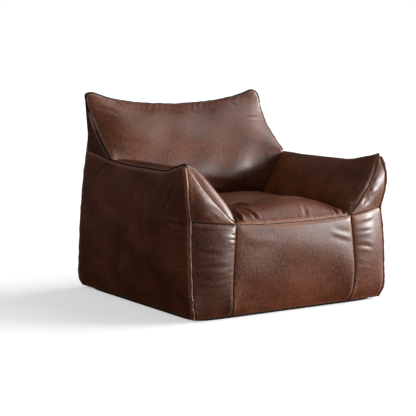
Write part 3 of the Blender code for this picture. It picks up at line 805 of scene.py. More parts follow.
CREASES = {  # panel: path, height in mm, width in mm
    "back_front_panel": (
        (((0.323, 0.156, 0.45), (0.276, 0.147, 0.41), (0.263, 0.147, 0.368), (0.27, 0.157, 0.33)), 7, 6.5),
        (((0.28, 0.165, 0.461), (0.302, 0.163, 0.469), (0.321, 0.16, 0.474)), -5, 7),
        (((0.247, 0.171, 0.484), (0.247, 0.156, 0.447), (0.234, 0.145, 0.404)), -1.5, 12),
        (((-0.283, 0.171, 0.478), (-0.254, 0.158, 0.464), (-0.225, 0.155, 0.457), (-0.193, 0.153, 0.452)), -6, 9),
        (((-0.328, 0.182, 0.5), (-0.279, 0.179, 0.502), (-0.234, 0.168, 0.492)), -2, 12),
        (((-0.338, 0.235, 0.543), (-0.295, 0.213, 0.539), (-0.248, 0.194, 0.533)), -1.6, 14),
        (((-0.051, 0.346, 0.649), (-0.034, 0.319, 0.635), (0.005, 0.296, 0.62)), 2.6, 6),
        (((0.017, 0.346, 0.649), (0.045, 0.322, 0.639), (0.083, 0.298, 0.621)), 2.6, 6.5),
        (((0.098, 0.334, 0.646), (0.118, 0.311, 0.634), (0.146, 0.297, 0.627)), 2.2, 6),
        (((0.202, 0.344, 0.654), (0.237, 0.341, 0.65), (0.267, 0.317, 0.635)), 1, 9),
        (((-0.173, 0.349, 0.656), (-0.159, 0.322, 0.644), (-0.136, 0.302, 0.631)), 2, 7),
        (((-0.275, 0.349, 0.672), (-0.244, 0.344, 0.657), (-0.222, 0.312, 0.638)), 1.8, 7),
        (((-0.343, 0.325, 0.645), (-0.307, 0.321, 0.631), (-0.269, 0.303, 0.623)), -1.8, 9),
        (((0.262, 0.268, 0.596), (0.297, 0.28, 0.591), (0.329, 0.286, 0.587)), 1.6, 7),
        (((0.206, 0.202, 0.541), (0.255, 0.206, 0.544), (0.296, 0.209, 0.538)), 1.4, 7),
        (((0.002, 0.153, 0.382), (0.084, 0.147, 0.368), (0.172, 0.146, 0.352)), -2, 14),
    ),
    "seat_panel": (
        (((-0.20, -0.300, 0.335), (0.0, -0.295, 0.345), (0.20, -0.300, 0.335)), 9, 55),
        (((-0.136, -0.26, 0.336), (-0.056, -0.247, 0.339), (-0.009, -0.267, 0.337), (0.057, -0.284, 0.337), (0.13, -0.276, 0.335)), 5.6, 13),
        (((-0.172, -0.253, 0.333), (-0.14, -0.267, 0.335), (-0.122, -0.296, 0.331), (-0.102, -0.318, 0.326)), 7.2, 7),
        (((-0.184, -0.294, 0.327), (-0.17, -0.314, 0.326), (-0.151, -0.327, 0.324)), -7.2, 6),
        (((-0.195, -0.319, 0.322), (-0.2, -0.354, 0.314), (-0.208, -0.38, 0.306)), -12.8, 5.5),
        (((-0.16, -0.327, 0.324), (-0.148, -0.355, 0.315), (-0.15, -0.38, 0.306)), -4.8, 8),
        (((0.065, -0.328, 0.325), (0.052, -0.363, 0.313), (0.039, -0.384, 0.303)), -2.4, 9),
        (((0.221, -0.333, 0.31), (0.222, -0.348, 0.307), (0.201, -0.385, 0.303)), -8, 6),
        (((0.228, -0.351, 0.305), (0.225, -0.378, 0.303), (0.23, -0.388, 0.3)), -8, 5),
        (((0.18, -0.341, 0.316), (0.176, -0.369, 0.309), (0.175, -0.386, 0.302)), -4, 7),
    ),
    "arm_inner_panel_right": (
        (((0.325, -0.319, 0.442), (0.325, -0.342, 0.429), (0.325, -0.362, 0.414)), -3.5, 5),
        (((0.304, -0.351, 0.404), (0.305, -0.368, 0.392), (0.305, -0.376, 0.378)), -3, 5),
        (((0.279, -0.318, 0.393), (0.279, -0.351, 0.379), (0.285, -0.378, 0.36)), 3, 6),
        (((0.252, -0.323, 0.357), (0.25, -0.355, 0.341), (0.253, -0.384, 0.325)), -4, 6),
        (((0.244, -0.349, 0.333), (0.238, -0.371, 0.321), (0.237, -0.382, 0.313)), 3.5, 4),
        (((0.33, 0.024, 0.456), (0.336, -0.076, 0.461), (0.345, -0.178, 0.464)), 1.6, 9),
        (((0.329, 0.121, 0.453), (0.285, 0.062, 0.414), (0.256, 0.038, 0.367)), -2, 12),
    ),
    "arm_front_panel_right": (
        (((0.317, -0.374, 0.386), (0.325, -0.385, 0.379), (0.35, -0.393, 0.378)), -3.5, 6),
        (((0.339, -0.368, 0.412), (0.347, -0.38, 0.414), (0.365, -0.385, 0.42)), -2.6, 5),
        (((0.275, -0.385, 0.34), (0.289, -0.387, 0.35), (0.311, -0.393, 0.352)), 3, 6),
        (((0.252, -0.39, 0.319), (0.276, -0.392, 0.326), (0.31, -0.395, 0.333)), -2.4, 6),
    ),
    "front_gusset_right": (
        (((0.248, -0.396, 0.277), (0.281, -0.397, 0.284), (0.332, -0.388, 0.29)), 1.8, 9),
        (((0.241, -0.395, 0.244), (0.271, -0.399, 0.244), (0.32, -0.395, 0.246)), -1.3, 7),
        (((0.248, -0.397, 0.197), (0.281, -0.398, 0.196), (0.326, -0.398, 0.185)), -1.2, 8),
        (((0.246, -0.396, 0.14), (0.275, -0.403, 0.132), (0.327, -0.398, 0.129)), -1.1, 8),
        (((0.245, -0.393, 0.08), (0.272, -0.402, 0.075), (0.32, -0.398, 0.076)), 1.1, 8),
    ),
    "arm_front_panel_left": (
        (((-0.392, -0.372, 0.372), (-0.373, -0.386, 0.366), (-0.347, -0.395, 0.373)), -2.2, 6),
        (((-0.386, -0.363, 0.343), (-0.362, -0.384, 0.339), (-0.334, -0.395, 0.344)), -2.4, 7),
        (((-0.391, -0.381, 0.401), (-0.377, -0.388, 0.396), (-0.368, -0.391, 0.385)), 2.2, 6),
        (((-0.35, -0.394, 0.363), (-0.322, -0.395, 0.349), (-0.287, -0.392, 0.326)), 3, 8),
    ),
    "front_gusset_left": (
        (((-0.376, -0.368, 0.304), (-0.335, -0.386, 0.297), (-0.289, -0.395, 0.299), (-0.243, -0.396, 0.29)), 3.4, 8),
        (((-0.311, -0.394, 0.281), (-0.275, -0.399, 0.274), (-0.233, -0.389, 0.269)), -2, 4),
        (((-0.305, -0.396, 0.268), (-0.27, -0.4, 0.26), (-0.235, -0.39, 0.253)), -2, 4),
        (((-0.294, -0.399, 0.247), (-0.261, -0.4, 0.243), (-0.238, -0.393, 0.234)), -1.8, 4),
        (((-0.374, -0.38, 0.225), (-0.337, -0.391, 0.219), (-0.293, -0.4, 0.215)), -1.8, 8),
        (((-0.375, -0.383, 0.175), (-0.327, -0.398, 0.175), (-0.27, -0.403, 0.174)), -2, 9),
        (((-0.374, -0.384, 0.125), (-0.328, -0.4, 0.119), (-0.272, -0.404, 0.123)), 1.8, 9),
        (((-0.377, -0.387, 0.077), (-0.342, -0.397, 0.075), (-0.287, -0.403, 0.078)), 2.2, 8),
    ),
    "side_panel_left": (
        (((-0.395, -0.266, 0.461), (-0.396, -0.231, 0.441), (-0.399, -0.193, 0.413), (-0.403, -0.148, 0.377)), -4.5, 8),
        (((-0.388, -0.188, 0.457), (-0.393, -0.151, 0.438), (-0.397, -0.113, 0.41)), -3.6, 8),
        (((-0.401, -0.299, 0.451), (-0.399, -0.283, 0.418), (-0.4, -0.256, 0.378), (-0.407, -0.216, 0.33)), -3.9, 10),
        (((-0.403, -0.332, 0.435), (-0.399, -0.319, 0.395), (-0.395, -0.29, 0.349)), -2.7, 8),
        (((-0.376, 0.173, 0.458), (-0.383, 0.221, 0.435), (-0.387, 0.257, 0.406)), -3.3, 10),
        (((-0.414, -0.121, 0.298), (-0.412, -0.187, 0.303), (-0.406, -0.246, 0.306), (-0.388, -0.349, 0.303)), -5.1, 8),
        (((-0.412, -0.162, 0.269), (-0.407, -0.256, 0.277), (-0.392, -0.349, 0.273)), 2.7, 12),
        (((-0.409, -0.195, 0.146), (-0.406, -0.275, 0.161), (-0.396, -0.354, 0.174)), -3.3, 8),
        (((-0.409, -0.233, 0.179), (-0.403, -0.296, 0.182), (-0.395, -0.352, 0.197)), -2.1, 7),
        (((-0.398, 0.231, 0.331), (-0.408, 0.055, 0.301), (-0.412, -0.099, 0.258)), -2.4, 22),
        (((-0.41, 0.041, 0.181), (-0.409, -0.093, 0.16), (-0.396, -0.229, 0.084)), -2.1, 24),
    ),
    "back_wing_panel_left": (
        (((-0.373, 0.303, 0.565), (-0.369, 0.278, 0.559), (-0.366, 0.271, 0.552)), -2.5, 7),
    ),
    "front_panel": (
        (((-0.209, -0.4, 0.259), (-0.157, -0.404, 0.248), (-0.094, -0.407, 0.247)), 1.2, 16),
        (((0.131, -0.405, 0.254), (0.182, -0.404, 0.239), (0.23, -0.398, 0.225)), 1.4, 10),
        (((-0.208, -0.399, 0.06), (-0.15, -0.395, 0.048), (-0.081, -0.392, 0.045)), -1.6, 12),
        (((0.097, -0.399, 0.063), (0.168, -0.395, 0.048), (0.226, -0.396, 0.047)), -1.4, 12),
    ),
}


relief = {}
for number, (name, grid) in enumerate(leather.items()):
    apart = edge_distances(grid)
    rise = valley(apart, FULLNESS.get(name, 0.0070), 0.0048, DEEP.get(name, {}))
    inside = valley(apart, 1.0, 0.030)
    rise = rise + inside * swells(grid, SWELL_MM.get(name, 2.0) * MM, 0.16, 100 + number)
    for edge, height, wave, reach, seed, slant in EASED.get(name, ()):
        rise = rise + puckers(apart, edge, height, wave, reach, seed, slant)
    seam_hold = valley(apart, 1.0, 0.003)
    for path, height, width in CREASES.get(name, ()):
        rise = rise + seam_hold * crease(grid, path, height * MM, width * MM)
    relief[name] = rise
    shaped = grid + rise[..., None] * normals_of(grid)
    shaped[..., 2] = np.maximum(shaped[..., 2], 0.0008)
    leather[name] = shaped
print("relief from", round(1000 * min(r.min() for r in relief.values()), 1), "to", round(1000 * max(r.max() for r in relief.values()), 1), "mm")

# %% [markdown]
# ## The finish of the leather
#
# Pull-up leather is dyed right through, waxed and then buffed. The wax gives it a soft gleam over a fine pebble grain.
# Where it is stretched or rubbed the wax thins, and the colour goes from umber to a lighter red-brown. Here a band
# beside the seams is paler: partly rubbed wear, partly painted highlight. Noise in real millimetres gives the
# clouding, and the distance to the seam, stored on each point, gives that band and a painted shade that darkens the
# seams' grooves. A number stored on some panels paints shade over the whole panel.

# %% Leather material
UMBER, CHESTNUT, TAN, RUBBED_AND_LIT = "#4b2312", "#62321a", "#784126", "#b07d64"
MOTTLE_MM, CLOUD_MM, GRAIN_MM = 8.5, 120.0, 4.2


def leather_material(name, tones, rub_and_lit, wear_and_lit=0.0, wax=0.58):
    """Waxed leather. tones are its deep, middle and light swatches, rub_and_lit the swatch of a paler band beside the
    seams, partly rubbed wear and partly painted highlight, wear_and_lit how much of that band shows, and wax the weight
    of its gleaming top. With wear_and_lit set, painted shade also darkens the seams' grooves and the panels given a
    share of it."""
    gleam = {"Specular IOR Level": 0.16, "Coat Weight": wax, "Coat Roughness": 0.29}
    made, tree, shader, place = material(name, IOR=1.5, **gleam)
    cloud = add(tree, "ShaderNodeTexNoise", {"Vector": place, "Scale": 1000 / CLOUD_MM, "Detail": 3.0, "Distortion": 0.5})
    mottle = add(tree, "ShaderNodeTexNoise", {"Vector": place, "Scale": 1000 / MOTTLE_MM, "Detail": 5.0, "Roughness": 0.6})
    part = add(tree, "ShaderNodeMath", {0: mottle.outputs["Fac"], 1: 0.55}, operation="MULTIPLY")
    both = {0: cloud.outputs["Fac"], 1: 0.45, 2: part.outputs[0]}
    tone = add(tree, "ShaderNodeMath", both, operation="MULTIPLY_ADD").outputs[0]
    stops = [(place, linear(swatch)) for place, swatch in zip((0.38, 0.50, 0.66), tones)]
    colour = ramp(tree, tone, *stops)
    if wear_and_lit:
        near = add(tree, "ShaderNodeAttribute", attribute_name="seam_distance").outputs["Fac"]
        # a paler band 6 to 18 mm from the seams, broken up by the mottle: partly rubbed wear, partly painted highlight
        span = {"Value": near, "From Min": 0.006, "From Max": 0.018, "To Min": wear_and_lit, "To Max": 0.0}
        edge = add(tree, "ShaderNodeMapRange", span).outputs[0]
        rub_and_lit_band = add(tree, "ShaderNodeMath", {0: edge, 1: mottle.outputs["Fac"]}, operation="MULTIPLY")
        colour = mixed(tree, rub_and_lit_band.outputs[0], colour, linear(rub_and_lit))
        # painted shade: from 1.4 to 6 mm off a seam the colour turns almost black, for the shadow in the seam's groove
        span = {"Value": near, "From Min": 0.0014, "From Max": 0.0060, "To Min": 0.93, "To Max": 0.0}
        colour = mixed(tree, add(tree, "ShaderNodeMapRange", span).outputs[0], colour, linear("#120a07"))
        # painted shade: panels given a share are darkened towards near-black, for the shade they fall in
        hide = add(tree, "ShaderNodeAttribute", attribute_name="hide_tone").outputs["Fac"]
        colour = mixed(tree, hide, colour, linear("#170b06"))
    tree.links.new(colour, shader.inputs["Base Color"])
    rough = ramp(tree, tone, (0.36, grey(0.40)), (0.66, grey(0.52)))
    tree.links.new(rough, shader.inputs["Roughness"])
    cells_of = {"Vector": place, "Scale": 1000 / GRAIN_MM}
    grain = add(tree, "ShaderNodeTexVoronoi", cells_of, feature="DISTANCE_TO_EDGE").outputs["Distance"]
    pebble = add(tree, "ShaderNodeMath", {0: grain, 1: 0.2}, operation="MINIMUM").outputs[0]
    fine = add(tree, "ShaderNodeBump", {"Height": pebble, "Strength": 0.60, "Distance": 0.0024}).outputs[0]
    soft = {"Height": mottle.outputs["Fac"], "Strength": 0.40, "Distance": 0.0040, "Normal": fine}
    tree.links.new(add(tree, "ShaderNodeBump", soft).outputs[0], shader.inputs["Normal"])
    return made


WAXED_LEATHER = leather_material("waxed_pull_up_leather", (UMBER, CHESTNUT, TAN), RUBBED_AND_LIT, wear_and_lit=0.9)
PIPING_LEATHER = leather_material("rubbed_piping_leather", ("#653c2b", "#865743", "#a9775e"), RUBBED_AND_LIT, wax=0.2)
# painted shade: a near-black, matt leather for the ridges that sit down in the seams' grooves, for the groove's shadow
SEAM_SHADE_LEATHER = leather_material("seam_shade_dark_leather", ("#150b07", "#26140d", "#42261a"), RUBBED_AND_LIT, wax=0.0)
print("leather tones", UMBER, CHESTNUT, TAN, RUBBED_AND_LIT)


# %% Putting pieces into the scene
def make_piece(name, points, faces, paint, body="chair"):
    """A smooth mesh object at the origin that rides on a body."""
    mesh = bpy.data.meshes.new(name)
    mesh.from_pydata(np.asarray(points).reshape(-1, 3).tolist(), [], faces)
    mesh.shade_smooth()
    mesh.materials.append(paint)
    obj = bpy.data.objects.new(name, mesh)
    bpy.context.scene.collection.objects.link(obj)
    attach(obj, body)
    return obj


def spread_number(mesh, name, values):
    """One number per point of the mesh, which a material can read."""
    mesh.attributes.new(name, "FLOAT", "POINT").data.foreach_set("value", values.astype(np.float32).ravel())


def lay_uv(mesh, uv):
    """A UV map, in metres of leather, from one (u, v) per point."""
    corner = np.empty(len(mesh.loops), np.int32)
    mesh.loops.foreach_get("vertex_index", corner)
    mesh.uv_layers.new(name="leather").data.foreach_set("uv", uv[corner].astype(np.float32).ravel())


def area_of(mesh):
    areas = np.empty(len(mesh.polygons), np.float32)
    mesh.polygons.foreach_get("area", areas)
    return float(areas.sum())


def give_thickness(obj, thick):
    """A wall on the inner side of a sheet."""
    wall = obj.modifiers.new("thickness", "SOLIDIFY")
    wall.thickness = thick
    wall.offset = -1.0


# %% The leather panels
LEATHER_THICK = 0.0012
SEAM_SHADE_SHIFT = {"front_panel": 0.0025, "arm_inner_panel_left": 0.0045, "arm_inner_panel_right": 0.0030, "seat_panel": 0.0020}  # moves the painted seam shade and the paler band further off the seam there
PAINTED_PANEL_SHADE = {"back_front_panel": 0.20, "front_gusset_left": 0.50, "arm_front_panel_left": 0.12, "back_wing_panel_left": 0.3}  # painted shade over these whole panels

for name, grid in leather.items():
    rows, columns = grid.shape[:2]
    quads = grid_faces(rows, columns)
    tip = np.linalg.norm(np.diff(grid[0], axis=0), axis=1).sum() < 0.002
    if tip:  # all of the first row is one point
        quads = np.where(quads < columns, 0, quads)
    piece = make_piece(f"{name}_leather", grid, faces_as_lists(quads), WAXED_LEATHER)
    apart = edge_distances(grid)
    to_seam = apart[1:].min(axis=0) if tip else apart.min(axis=0)
    spread_number(piece.data, "seam_distance", to_seam + SEAM_SHADE_SHIFT.get(name, 0.0))
    spread_number(piece.data, "hide_tone", np.full(grid.shape[:2], PAINTED_PANEL_SHADE.get(name, 0.0)))
    lay_uv(piece.data, np.stack([apart[LEFT], apart[BOTTOM]], axis=-1).reshape(-1, 2))
    give_thickness(piece, LEATHER_THICK)
    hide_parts(name)
    wide = float(apart[RIGHT].max())
    tall = float(apart[BOTTOM][-1].min() if tip else apart[TOP].max())
    area = min(area_of(piece.data), wide * tall)
    print(f"{name}: cut {1000 * wide:.0f} by {1000 * tall:.0f} mm, {area:.4f} m2, {len(quads)} quads")

# %% [markdown]
# ## Raised seams
#
# The outer seams are sewn with the leather's edges turned out and stitched through, which leaves a narrow raised
# ridge. It is made as an ellipse swept along the seam, standing up along the average of the two panels' normals. The
# ridge is hand-sewn work, so it wanders by a fraction of a millimetre and swells and narrows a little.


# %% Sweeping a ridge along a seam
def cover_normals(points, quads):
    """The outward unit normal at each point of the sewn cover: the sum of its faces' cross products."""
    a, b, c, d = (points[quads[:, k]] for k in range(4))
    face = np.cross(c - a, d - b)
    total = np.zeros_like(points)
    for k in range(4):
        np.add.at(total, quads[:, k], face)
    return total / np.maximum(np.linalg.norm(total, axis=1, keepdims=True), 1e-12)


outward_at = cover_normals(settled, cover_quads)


def outwards(line):
    """The cover's normal at the sewn point nearest to each point of a line, averaged with its neighbours along it."""
    gap = ((line[:, None] - cover_points[held][None]) ** 2).sum(-1)
    out = outward_at[held][gap.argmin(axis=1)]
    kernel = np.ones(5) / 5
    padded = np.vstack([np.repeat(out[:1], 2, 0), out, np.repeat(out[-1:], 2, 0)])
    out = np.stack([np.convolve(padded[:, k], kernel, "valid") for k in range(3)], axis=-1)
    return out / np.linalg.norm(out, axis=1, keepdims=True)


def frame_along(line, out):
    """Unit tangents, outward sides square to them, and the third directions."""
    tangent = np.gradient(line, axis=0)
    tangent /= np.linalg.norm(tangent, axis=1, keepdims=True)
    out = out - (out * tangent).sum(axis=1, keepdims=True) * tangent
    out /= np.linalg.norm(out, axis=1, keepdims=True)
    return tangent, out, np.cross(tangent, out)


def tube(line, out, wide, tall, sides=12):
    """A closed tube: at each point of the line an ellipse wide by tall, with a point at the middle of both ends."""
    _, out, across = frame_along(line, out)
    turn = np.linspace(0, 2 * np.pi, sides, endpoint=False)
    wide, tall = (np.broadcast_to(w, len(line))[:, None, None] for w in (wide, tall))
    rings = line[:, None] + wide * np.cos(turn)[None, :, None] * across[:, None]
    rings = rings + tall * np.sin(turn)[None, :, None] * out[:, None]
    ring = np.arange(len(line) * sides).reshape(len(line), sides)
    following = np.roll(ring, -1, axis=1)
    walls = np.stack([ring[:-1], ring[1:], following[1:], following[:-1]], axis=-1).reshape(-1, 4)
    start, end = len(line) * sides, len(line) * sides + 1
    first = np.stack([np.full(sides, start), ring[0], following[0]], axis=-1)
    last = np.stack([np.full(sides, end), following[-1], ring[-1]], axis=-1)
    points = np.vstack([rings.reshape(-1, 3), line[:1], line[-1:]])
    return points, walls.tolist() + first.tolist() + last.tolist()


def wander(count, height, wave, seed):
    """A slow random drift along a line of points 4 mm apart: three sines."""
    chance = np.random.default_rng(seed)
    at = np.arange(count) * 0.004
    return height * sum(np.sin(2 * np.pi * (at / (wave * chance.uniform(0.6, 1.6)) + chance.uniform())) for _ in range(3)) / 2


def ridge(name, curve, radius, lift, trim, seed, replaces):
    """The raised seam along a curve: the radius of its rounded top, how far that stands off the seam, and what is cut
    off its two ends. The ellipse reaches down between the panels, so the ridge never floats."""
    total = travelled(curve)[-1]
    fine = read_at(curve, np.linspace(0, len(curve) - 1, 4 * len(curve)), 0)
    at = travelled(fine)
    want = np.linspace(trim[0], total - trim[1], max(8, round(total / 0.004)))
    line = np.stack([np.interp(want, at, fine[:, k]) for k in range(3)], axis=-1)
    out = outwards(line)
    _, out, across = frame_along(line, out)
    count = len(line)
    line = line + (lift / 2 + wander(count, 0.0004, 0.060, seed))[:, None] * out
    line = line + wander(count, 0.0004, 0.075, seed + 50)[:, None] * across
    from_end = np.minimum(want - want[0], want[-1] - want) / (2 * radius)
    round_end = np.sqrt(np.clip(1 - (1 - np.clip(from_end, 0, 1)) ** 2, 0.1, 1))
    swell = 1 + wander(count, 0.10, 0.045, seed + 90)
    points, faces = tube(line, out, 0.80 * radius * swell * round_end, (radius + lift / 2) * swell * round_end)
    points[:, 2] = np.maximum(points[:, 2], 0.0008)
    # the corners' ridges are paler rubbed leather; the rest take the near-black leather that paints the groove's shade
    piece = make_piece(name, points, faces, PIPING_LEATHER if "corner" in name else SEAM_SHADE_LEATHER)
    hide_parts(replaces)
    return line


# %% The raised seams
half_back = joined(seam["back_top"], seam["back_side"])
RIDGES = {  # curve, radius, lift, what is cut off at both ends
    "back_welt": (joined(half_back[::-1] * MIRROR, half_back), 0.0025, 0.0030, (0.004, 0.004)),
    "seat_front_welt": (whole("seat_front"), 0.0016, 0.0000, (0.002, 0.002)),
}
for side, sign in (("left", MIRROR), ("right", 1.0)):
    arm = joined(seam["arm_top"], seam["arm_front"])
    corner = joined(seam["corner_upper"], seam["corner_lower"])
    rear = joined(seam["rear_upper"], seam["rear_lower"], seam["rear_hem"])
    RIDGES[f"arm_welt_{side}"] = (arm * sign, 0.0020, 0.0010, (0.002, 0.002))
    RIDGES[f"arm_base_welt_{side}"] = (seam["arm_base"] * sign, 0.0016, 0.0002, (0.003, 0.004))
    RIDGES[f"corner_welt_{side}"] = (corner * sign, 0.0030, 0.0044, (0.010, 0.002))
    RIDGES[f"rear_corner_welt_{side}"] = (rear * sign, 0.0030, 0.0040, (0.006, 0.002))
for seed, (name, (curve, radius, lift, trim)) in enumerate(RIDGES.items()):
    line = ridge(f"{name}_piping", curve, radius, lift, trim, seed, name)
    print(f"{name}: {travelled(line)[-1]:.2f} m")

# %% [markdown]
# ## Stitches
#
# The plain seams of the front and the hem are topstitched: a row of thread 3 mm from the seam, one stitch to 5 mm.
# A stitch is a short bead of thread half sunk in the leather. One is shaped and copied along the row as an array,
# turned to the row's own directions.


# %% Rows of stitches
def stitch_row(line, out, length, thick):
    """Copies of one stitch, a six-sided spindle, centred on each point of the line: points and faces."""
    tangent, out, across = frame_along(line, out)
    at = np.array([-0.5, -0.36, 0.0, 0.36, 0.5]) * length
    size = np.array([0.05, 0.75, 1.0, 0.75, 0.05]) * thick / 2
    turn = np.linspace(0, 2 * np.pi, 6, endpoint=False)
    local = np.stack(
        [
            np.repeat(at, 6),
            np.outer(size, np.cos(turn)).ravel(),
            np.outer(size, np.sin(turn)).ravel(),
        ],
        axis=-1,
    )
    axes = np.stack([tangent, across, out], axis=1)
    points = line[:, None] + np.einsum("pk,nkx->npx", local, axes)
    ring = np.arange(30).reshape(5, 6)
    following = np.roll(ring, -1, axis=1)
    walls = np.stack([ring[:-1], ring[1:], following[1:], following[:-1]], axis=-1).reshape(-1, 4)
    faces = (walls[None] + 30 * np.arange(len(line))[:, None, None]).reshape(-1, 4).tolist()
    ends = [f for n in range(len(line)) for f in ((ring[0] + 30 * n).tolist(), (ring[-1][::-1] + 30 * n).tolist())]
    return points.reshape(-1, 3), faces + ends


def row_beside(name, edge, away):
    """The line on a panel at this distance from one of its edges, and the normals along it."""
    grid, apart = leather[name], edge_distances(leather[name])[edge]
    nearest = np.abs(apart.mean(axis=1 if edge in (BOTTOM, TOP) else 0) - away).argmin()
    pick = (lambda a: a[nearest]) if edge in (BOTTOM, TOP) else (lambda a: a[:, nearest])
    line, out = pick(grid), pick(normals_of(grid))
    count = int(travelled(line)[-1] / 0.005)
    at, want = travelled(line), np.linspace(0.006, travelled(line)[-1] - 0.006, count)
    line, out = (np.stack([np.interp(want, at, v[:, k]) for k in range(3)], axis=-1) for v in (line, out))
    return line, out


THREAD, tree, shader, place = material("waxed_thread", **{"Roughness": 0.55, "IOR": 1.47, "Base Color": linear("#3a2319")})
rows = [
    row_beside("front_panel", LEFT, 0.0035),
    row_beside("front_panel", RIGHT, 0.0035),
    row_beside("rear_upper_panel", BOTTOM, 0.0040),
    row_beside("rear_lower_panel", BOTTOM, 0.0050),
    row_beside("rear_hem_panel", TOP, 0.0050),
]
stitched = [stitch_row(line, out, 0.0038, 0.0009) for line, out in rows]
starts = np.cumsum([0] + [len(p) for p, _ in stitched])
thread_faces = [[i + int(start) for i in f] for (_, fs), start in zip(stitched, starts) for f in fs]
thread = make_piece("topstitching", np.vstack([p for p, _ in stitched]), thread_faces, THREAD)
print(sum(len(line) for line, _ in rows), "stitches")

# %% [markdown]
# ## The zip
#
# A long zip in the rear hem lets the filling bags in. Its coils are nylon thread wound into a spiral, about 1.5 mm
# between turns, sewn to woven tapes. The spiral is swept as a tube along a helix, flattened as a real coil is.
# The slider and the two stops are shown from the model itself, in antique brass.

# %% Zip tapes and coils
TAPE_CLOTH, tree, shader, place = material("woven_zip_tape", **{"Roughness": 0.85, "Base Color": linear("#35211a")})
weave = add(tree, "ShaderNodeTexWave", {"Vector": place, "Scale": 1000 / 1.2}, wave_type="BANDS", bands_direction="DIAGONAL")
bump = add(tree, "ShaderNodeBump", {"Height": weave.outputs["Fac"], "Strength": 0.4, "Distance": 0.0003})
tree.links.new(bump.outputs[0], shader.inputs["Normal"])
NYLON, tree, shader, place = material("nylon_coil", **{"Roughness": 0.38, "IOR": 1.53, "Base Color": linear("#2c1b15")})
BRASS, tree, shader, place = material("antique_brass", **{"Metallic": 1.0, "Roughness": 0.36})
tarnish = add(tree, "ShaderNodeTexNoise", {"Vector": place, "Scale": 1000 / 4, "Detail": 3.0}).outputs["Fac"]
tree.links.new(ramp(tree, tarnish, (0.35, linear("#6b5230")), (0.65, linear("#b08d57"))), shader.inputs["Base Color"])

COIL_PITCH = 0.0015
for half in ("upper", "lower"):
    low, high = (np.array(c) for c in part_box(f"zip_tape_{half}"))
    u = np.linspace(0, 1, 121)[None, :]
    v = np.linspace(0, 1, 7)[:, None]
    x = high[0] + (low[0] - high[0]) * u + 0 * v
    z = low[2] + (high[2] - low[2]) * v + 0 * u
    y = (low[1] + high[1]) / 2 + 0.0002 * np.sin(2 * np.pi * x / 0.045) * (4 * v * (1 - v))
    tape = make_piece(f"zip_tape_{half}_woven", np.stack([x, y, z], axis=-1), grid_faces(7, 121).tolist(), TAPE_CLOTH)
    wall = tape.modifiers.new("thickness", "SOLIDIFY")
    wall.thickness = float(high[1] - low[1]) * 0.8
    wall.offset = 0.0
    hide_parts(f"zip_tape_{half}")
    low, high = (np.array(c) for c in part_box(f"zip_coil_{half}"))
    middle, radius = (low + high) / 2, (high - low) / 2
    turns = (high[0] - low[0] - 0.002) / COIL_PITCH
    t = np.linspace(0, turns, int(turns * 8))
    wire = 0.00035
    spiral = np.stack(
        [
            low[0] + 0.001 + COIL_PITCH * t,
            middle[1] + (radius[1] - wire) * np.cos(2 * np.pi * t),
            middle[2] + (radius[2] - wire) * np.sin(2 * np.pi * t),
        ],
        axis=-1,
    )
    around = np.stack([0 * t, np.cos(2 * np.pi * t), np.sin(2 * np.pi * t)], axis=-1)
    coil = make_piece(f"zip_coil_{half}_spiral", *tube(spiral, around, wire, wire, sides=5), NYLON)
    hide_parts(f"zip_coil_{half}")
for name in ("zip_slider", "zip_stop_closed", "zip_stop_open"):
    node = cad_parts[name]
    node.data.materials.clear()
    node.data.materials.append(BRASS)
print("zip", round(turns), "turns to a coil")

# %% [markdown]
# ## The base sheet
#
# The chair stands on a coated non-slip sheet with a grid of small rubber dots. It is a square whose sides and
# corners follow a superellipse, |x|^n + |y|^n = 1 with n about 14, spread from the middle outwards.

# %% Base sheet
BASE_CLOTH, tree, shader, place = material("non_slip_base_cloth", **{"Roughness": 0.78, "Base Color": linear("#241b17")})
dots = add(tree, "ShaderNodeTexVoronoi", {"Vector": place, "Scale": 1000 / 6, "Randomness": 0.0}).outputs["Distance"]
raised = ramp(tree, dots, (0.25, grey(1.0)), (0.32, grey(0.0)))
dot_bump = add(tree, "ShaderNodeBump", {"Height": raised, "Strength": 0.6, "Distance": 0.0006})
tree.links.new(dot_bump.outputs[0], shader.inputs["Normal"])

low, high = (np.array(c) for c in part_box("base_panel"))
BASE_RINGS, BASE_STEPS, BASE_POWER = 24, 256, 14
turn = np.linspace(0, 2 * np.pi, BASE_STEPS, endpoint=False)
rim = (np.abs(np.cos(turn)) ** BASE_POWER + np.abs(np.sin(turn)) ** BASE_POWER) ** (-1 / BASE_POWER)
share = np.linspace(1, BASE_RINGS, BASE_RINGS)[:, None] / BASE_RINGS
middle, half = (low + high) / 2, (high - low) / 2
base_points = np.stack(
    [
        middle[0] + half[0] * share * rim * np.cos(turn),
        middle[1] + half[1] * share * rim * np.sin(turn),
        high[2] + 0 * share * turn,
    ],
    axis=-1,
)
ring = np.arange(BASE_RINGS * BASE_STEPS).reshape(BASE_RINGS, BASE_STEPS)
following = np.roll(ring, -1, axis=1)
base_faces = np.stack([ring[:-1], ring[1:], following[1:], following[:-1]], axis=-1).reshape(-1, 4).tolist()
base_faces += [[len(ring) * BASE_STEPS, int(a), int(b)] for a, b in zip(ring[0], following[0])]
base_points = np.vstack([base_points.reshape(-1, 3), [[middle[0], middle[1], high[2]]]])
base = make_piece("base_panel_sheet", base_points, base_faces, BASE_CLOTH)
give_thickness(base, float(high[2] - low[2]))
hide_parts("base_panel")
area_of(base.data)
print("base sheet", np.round(2 * half[:2], 3), "m")
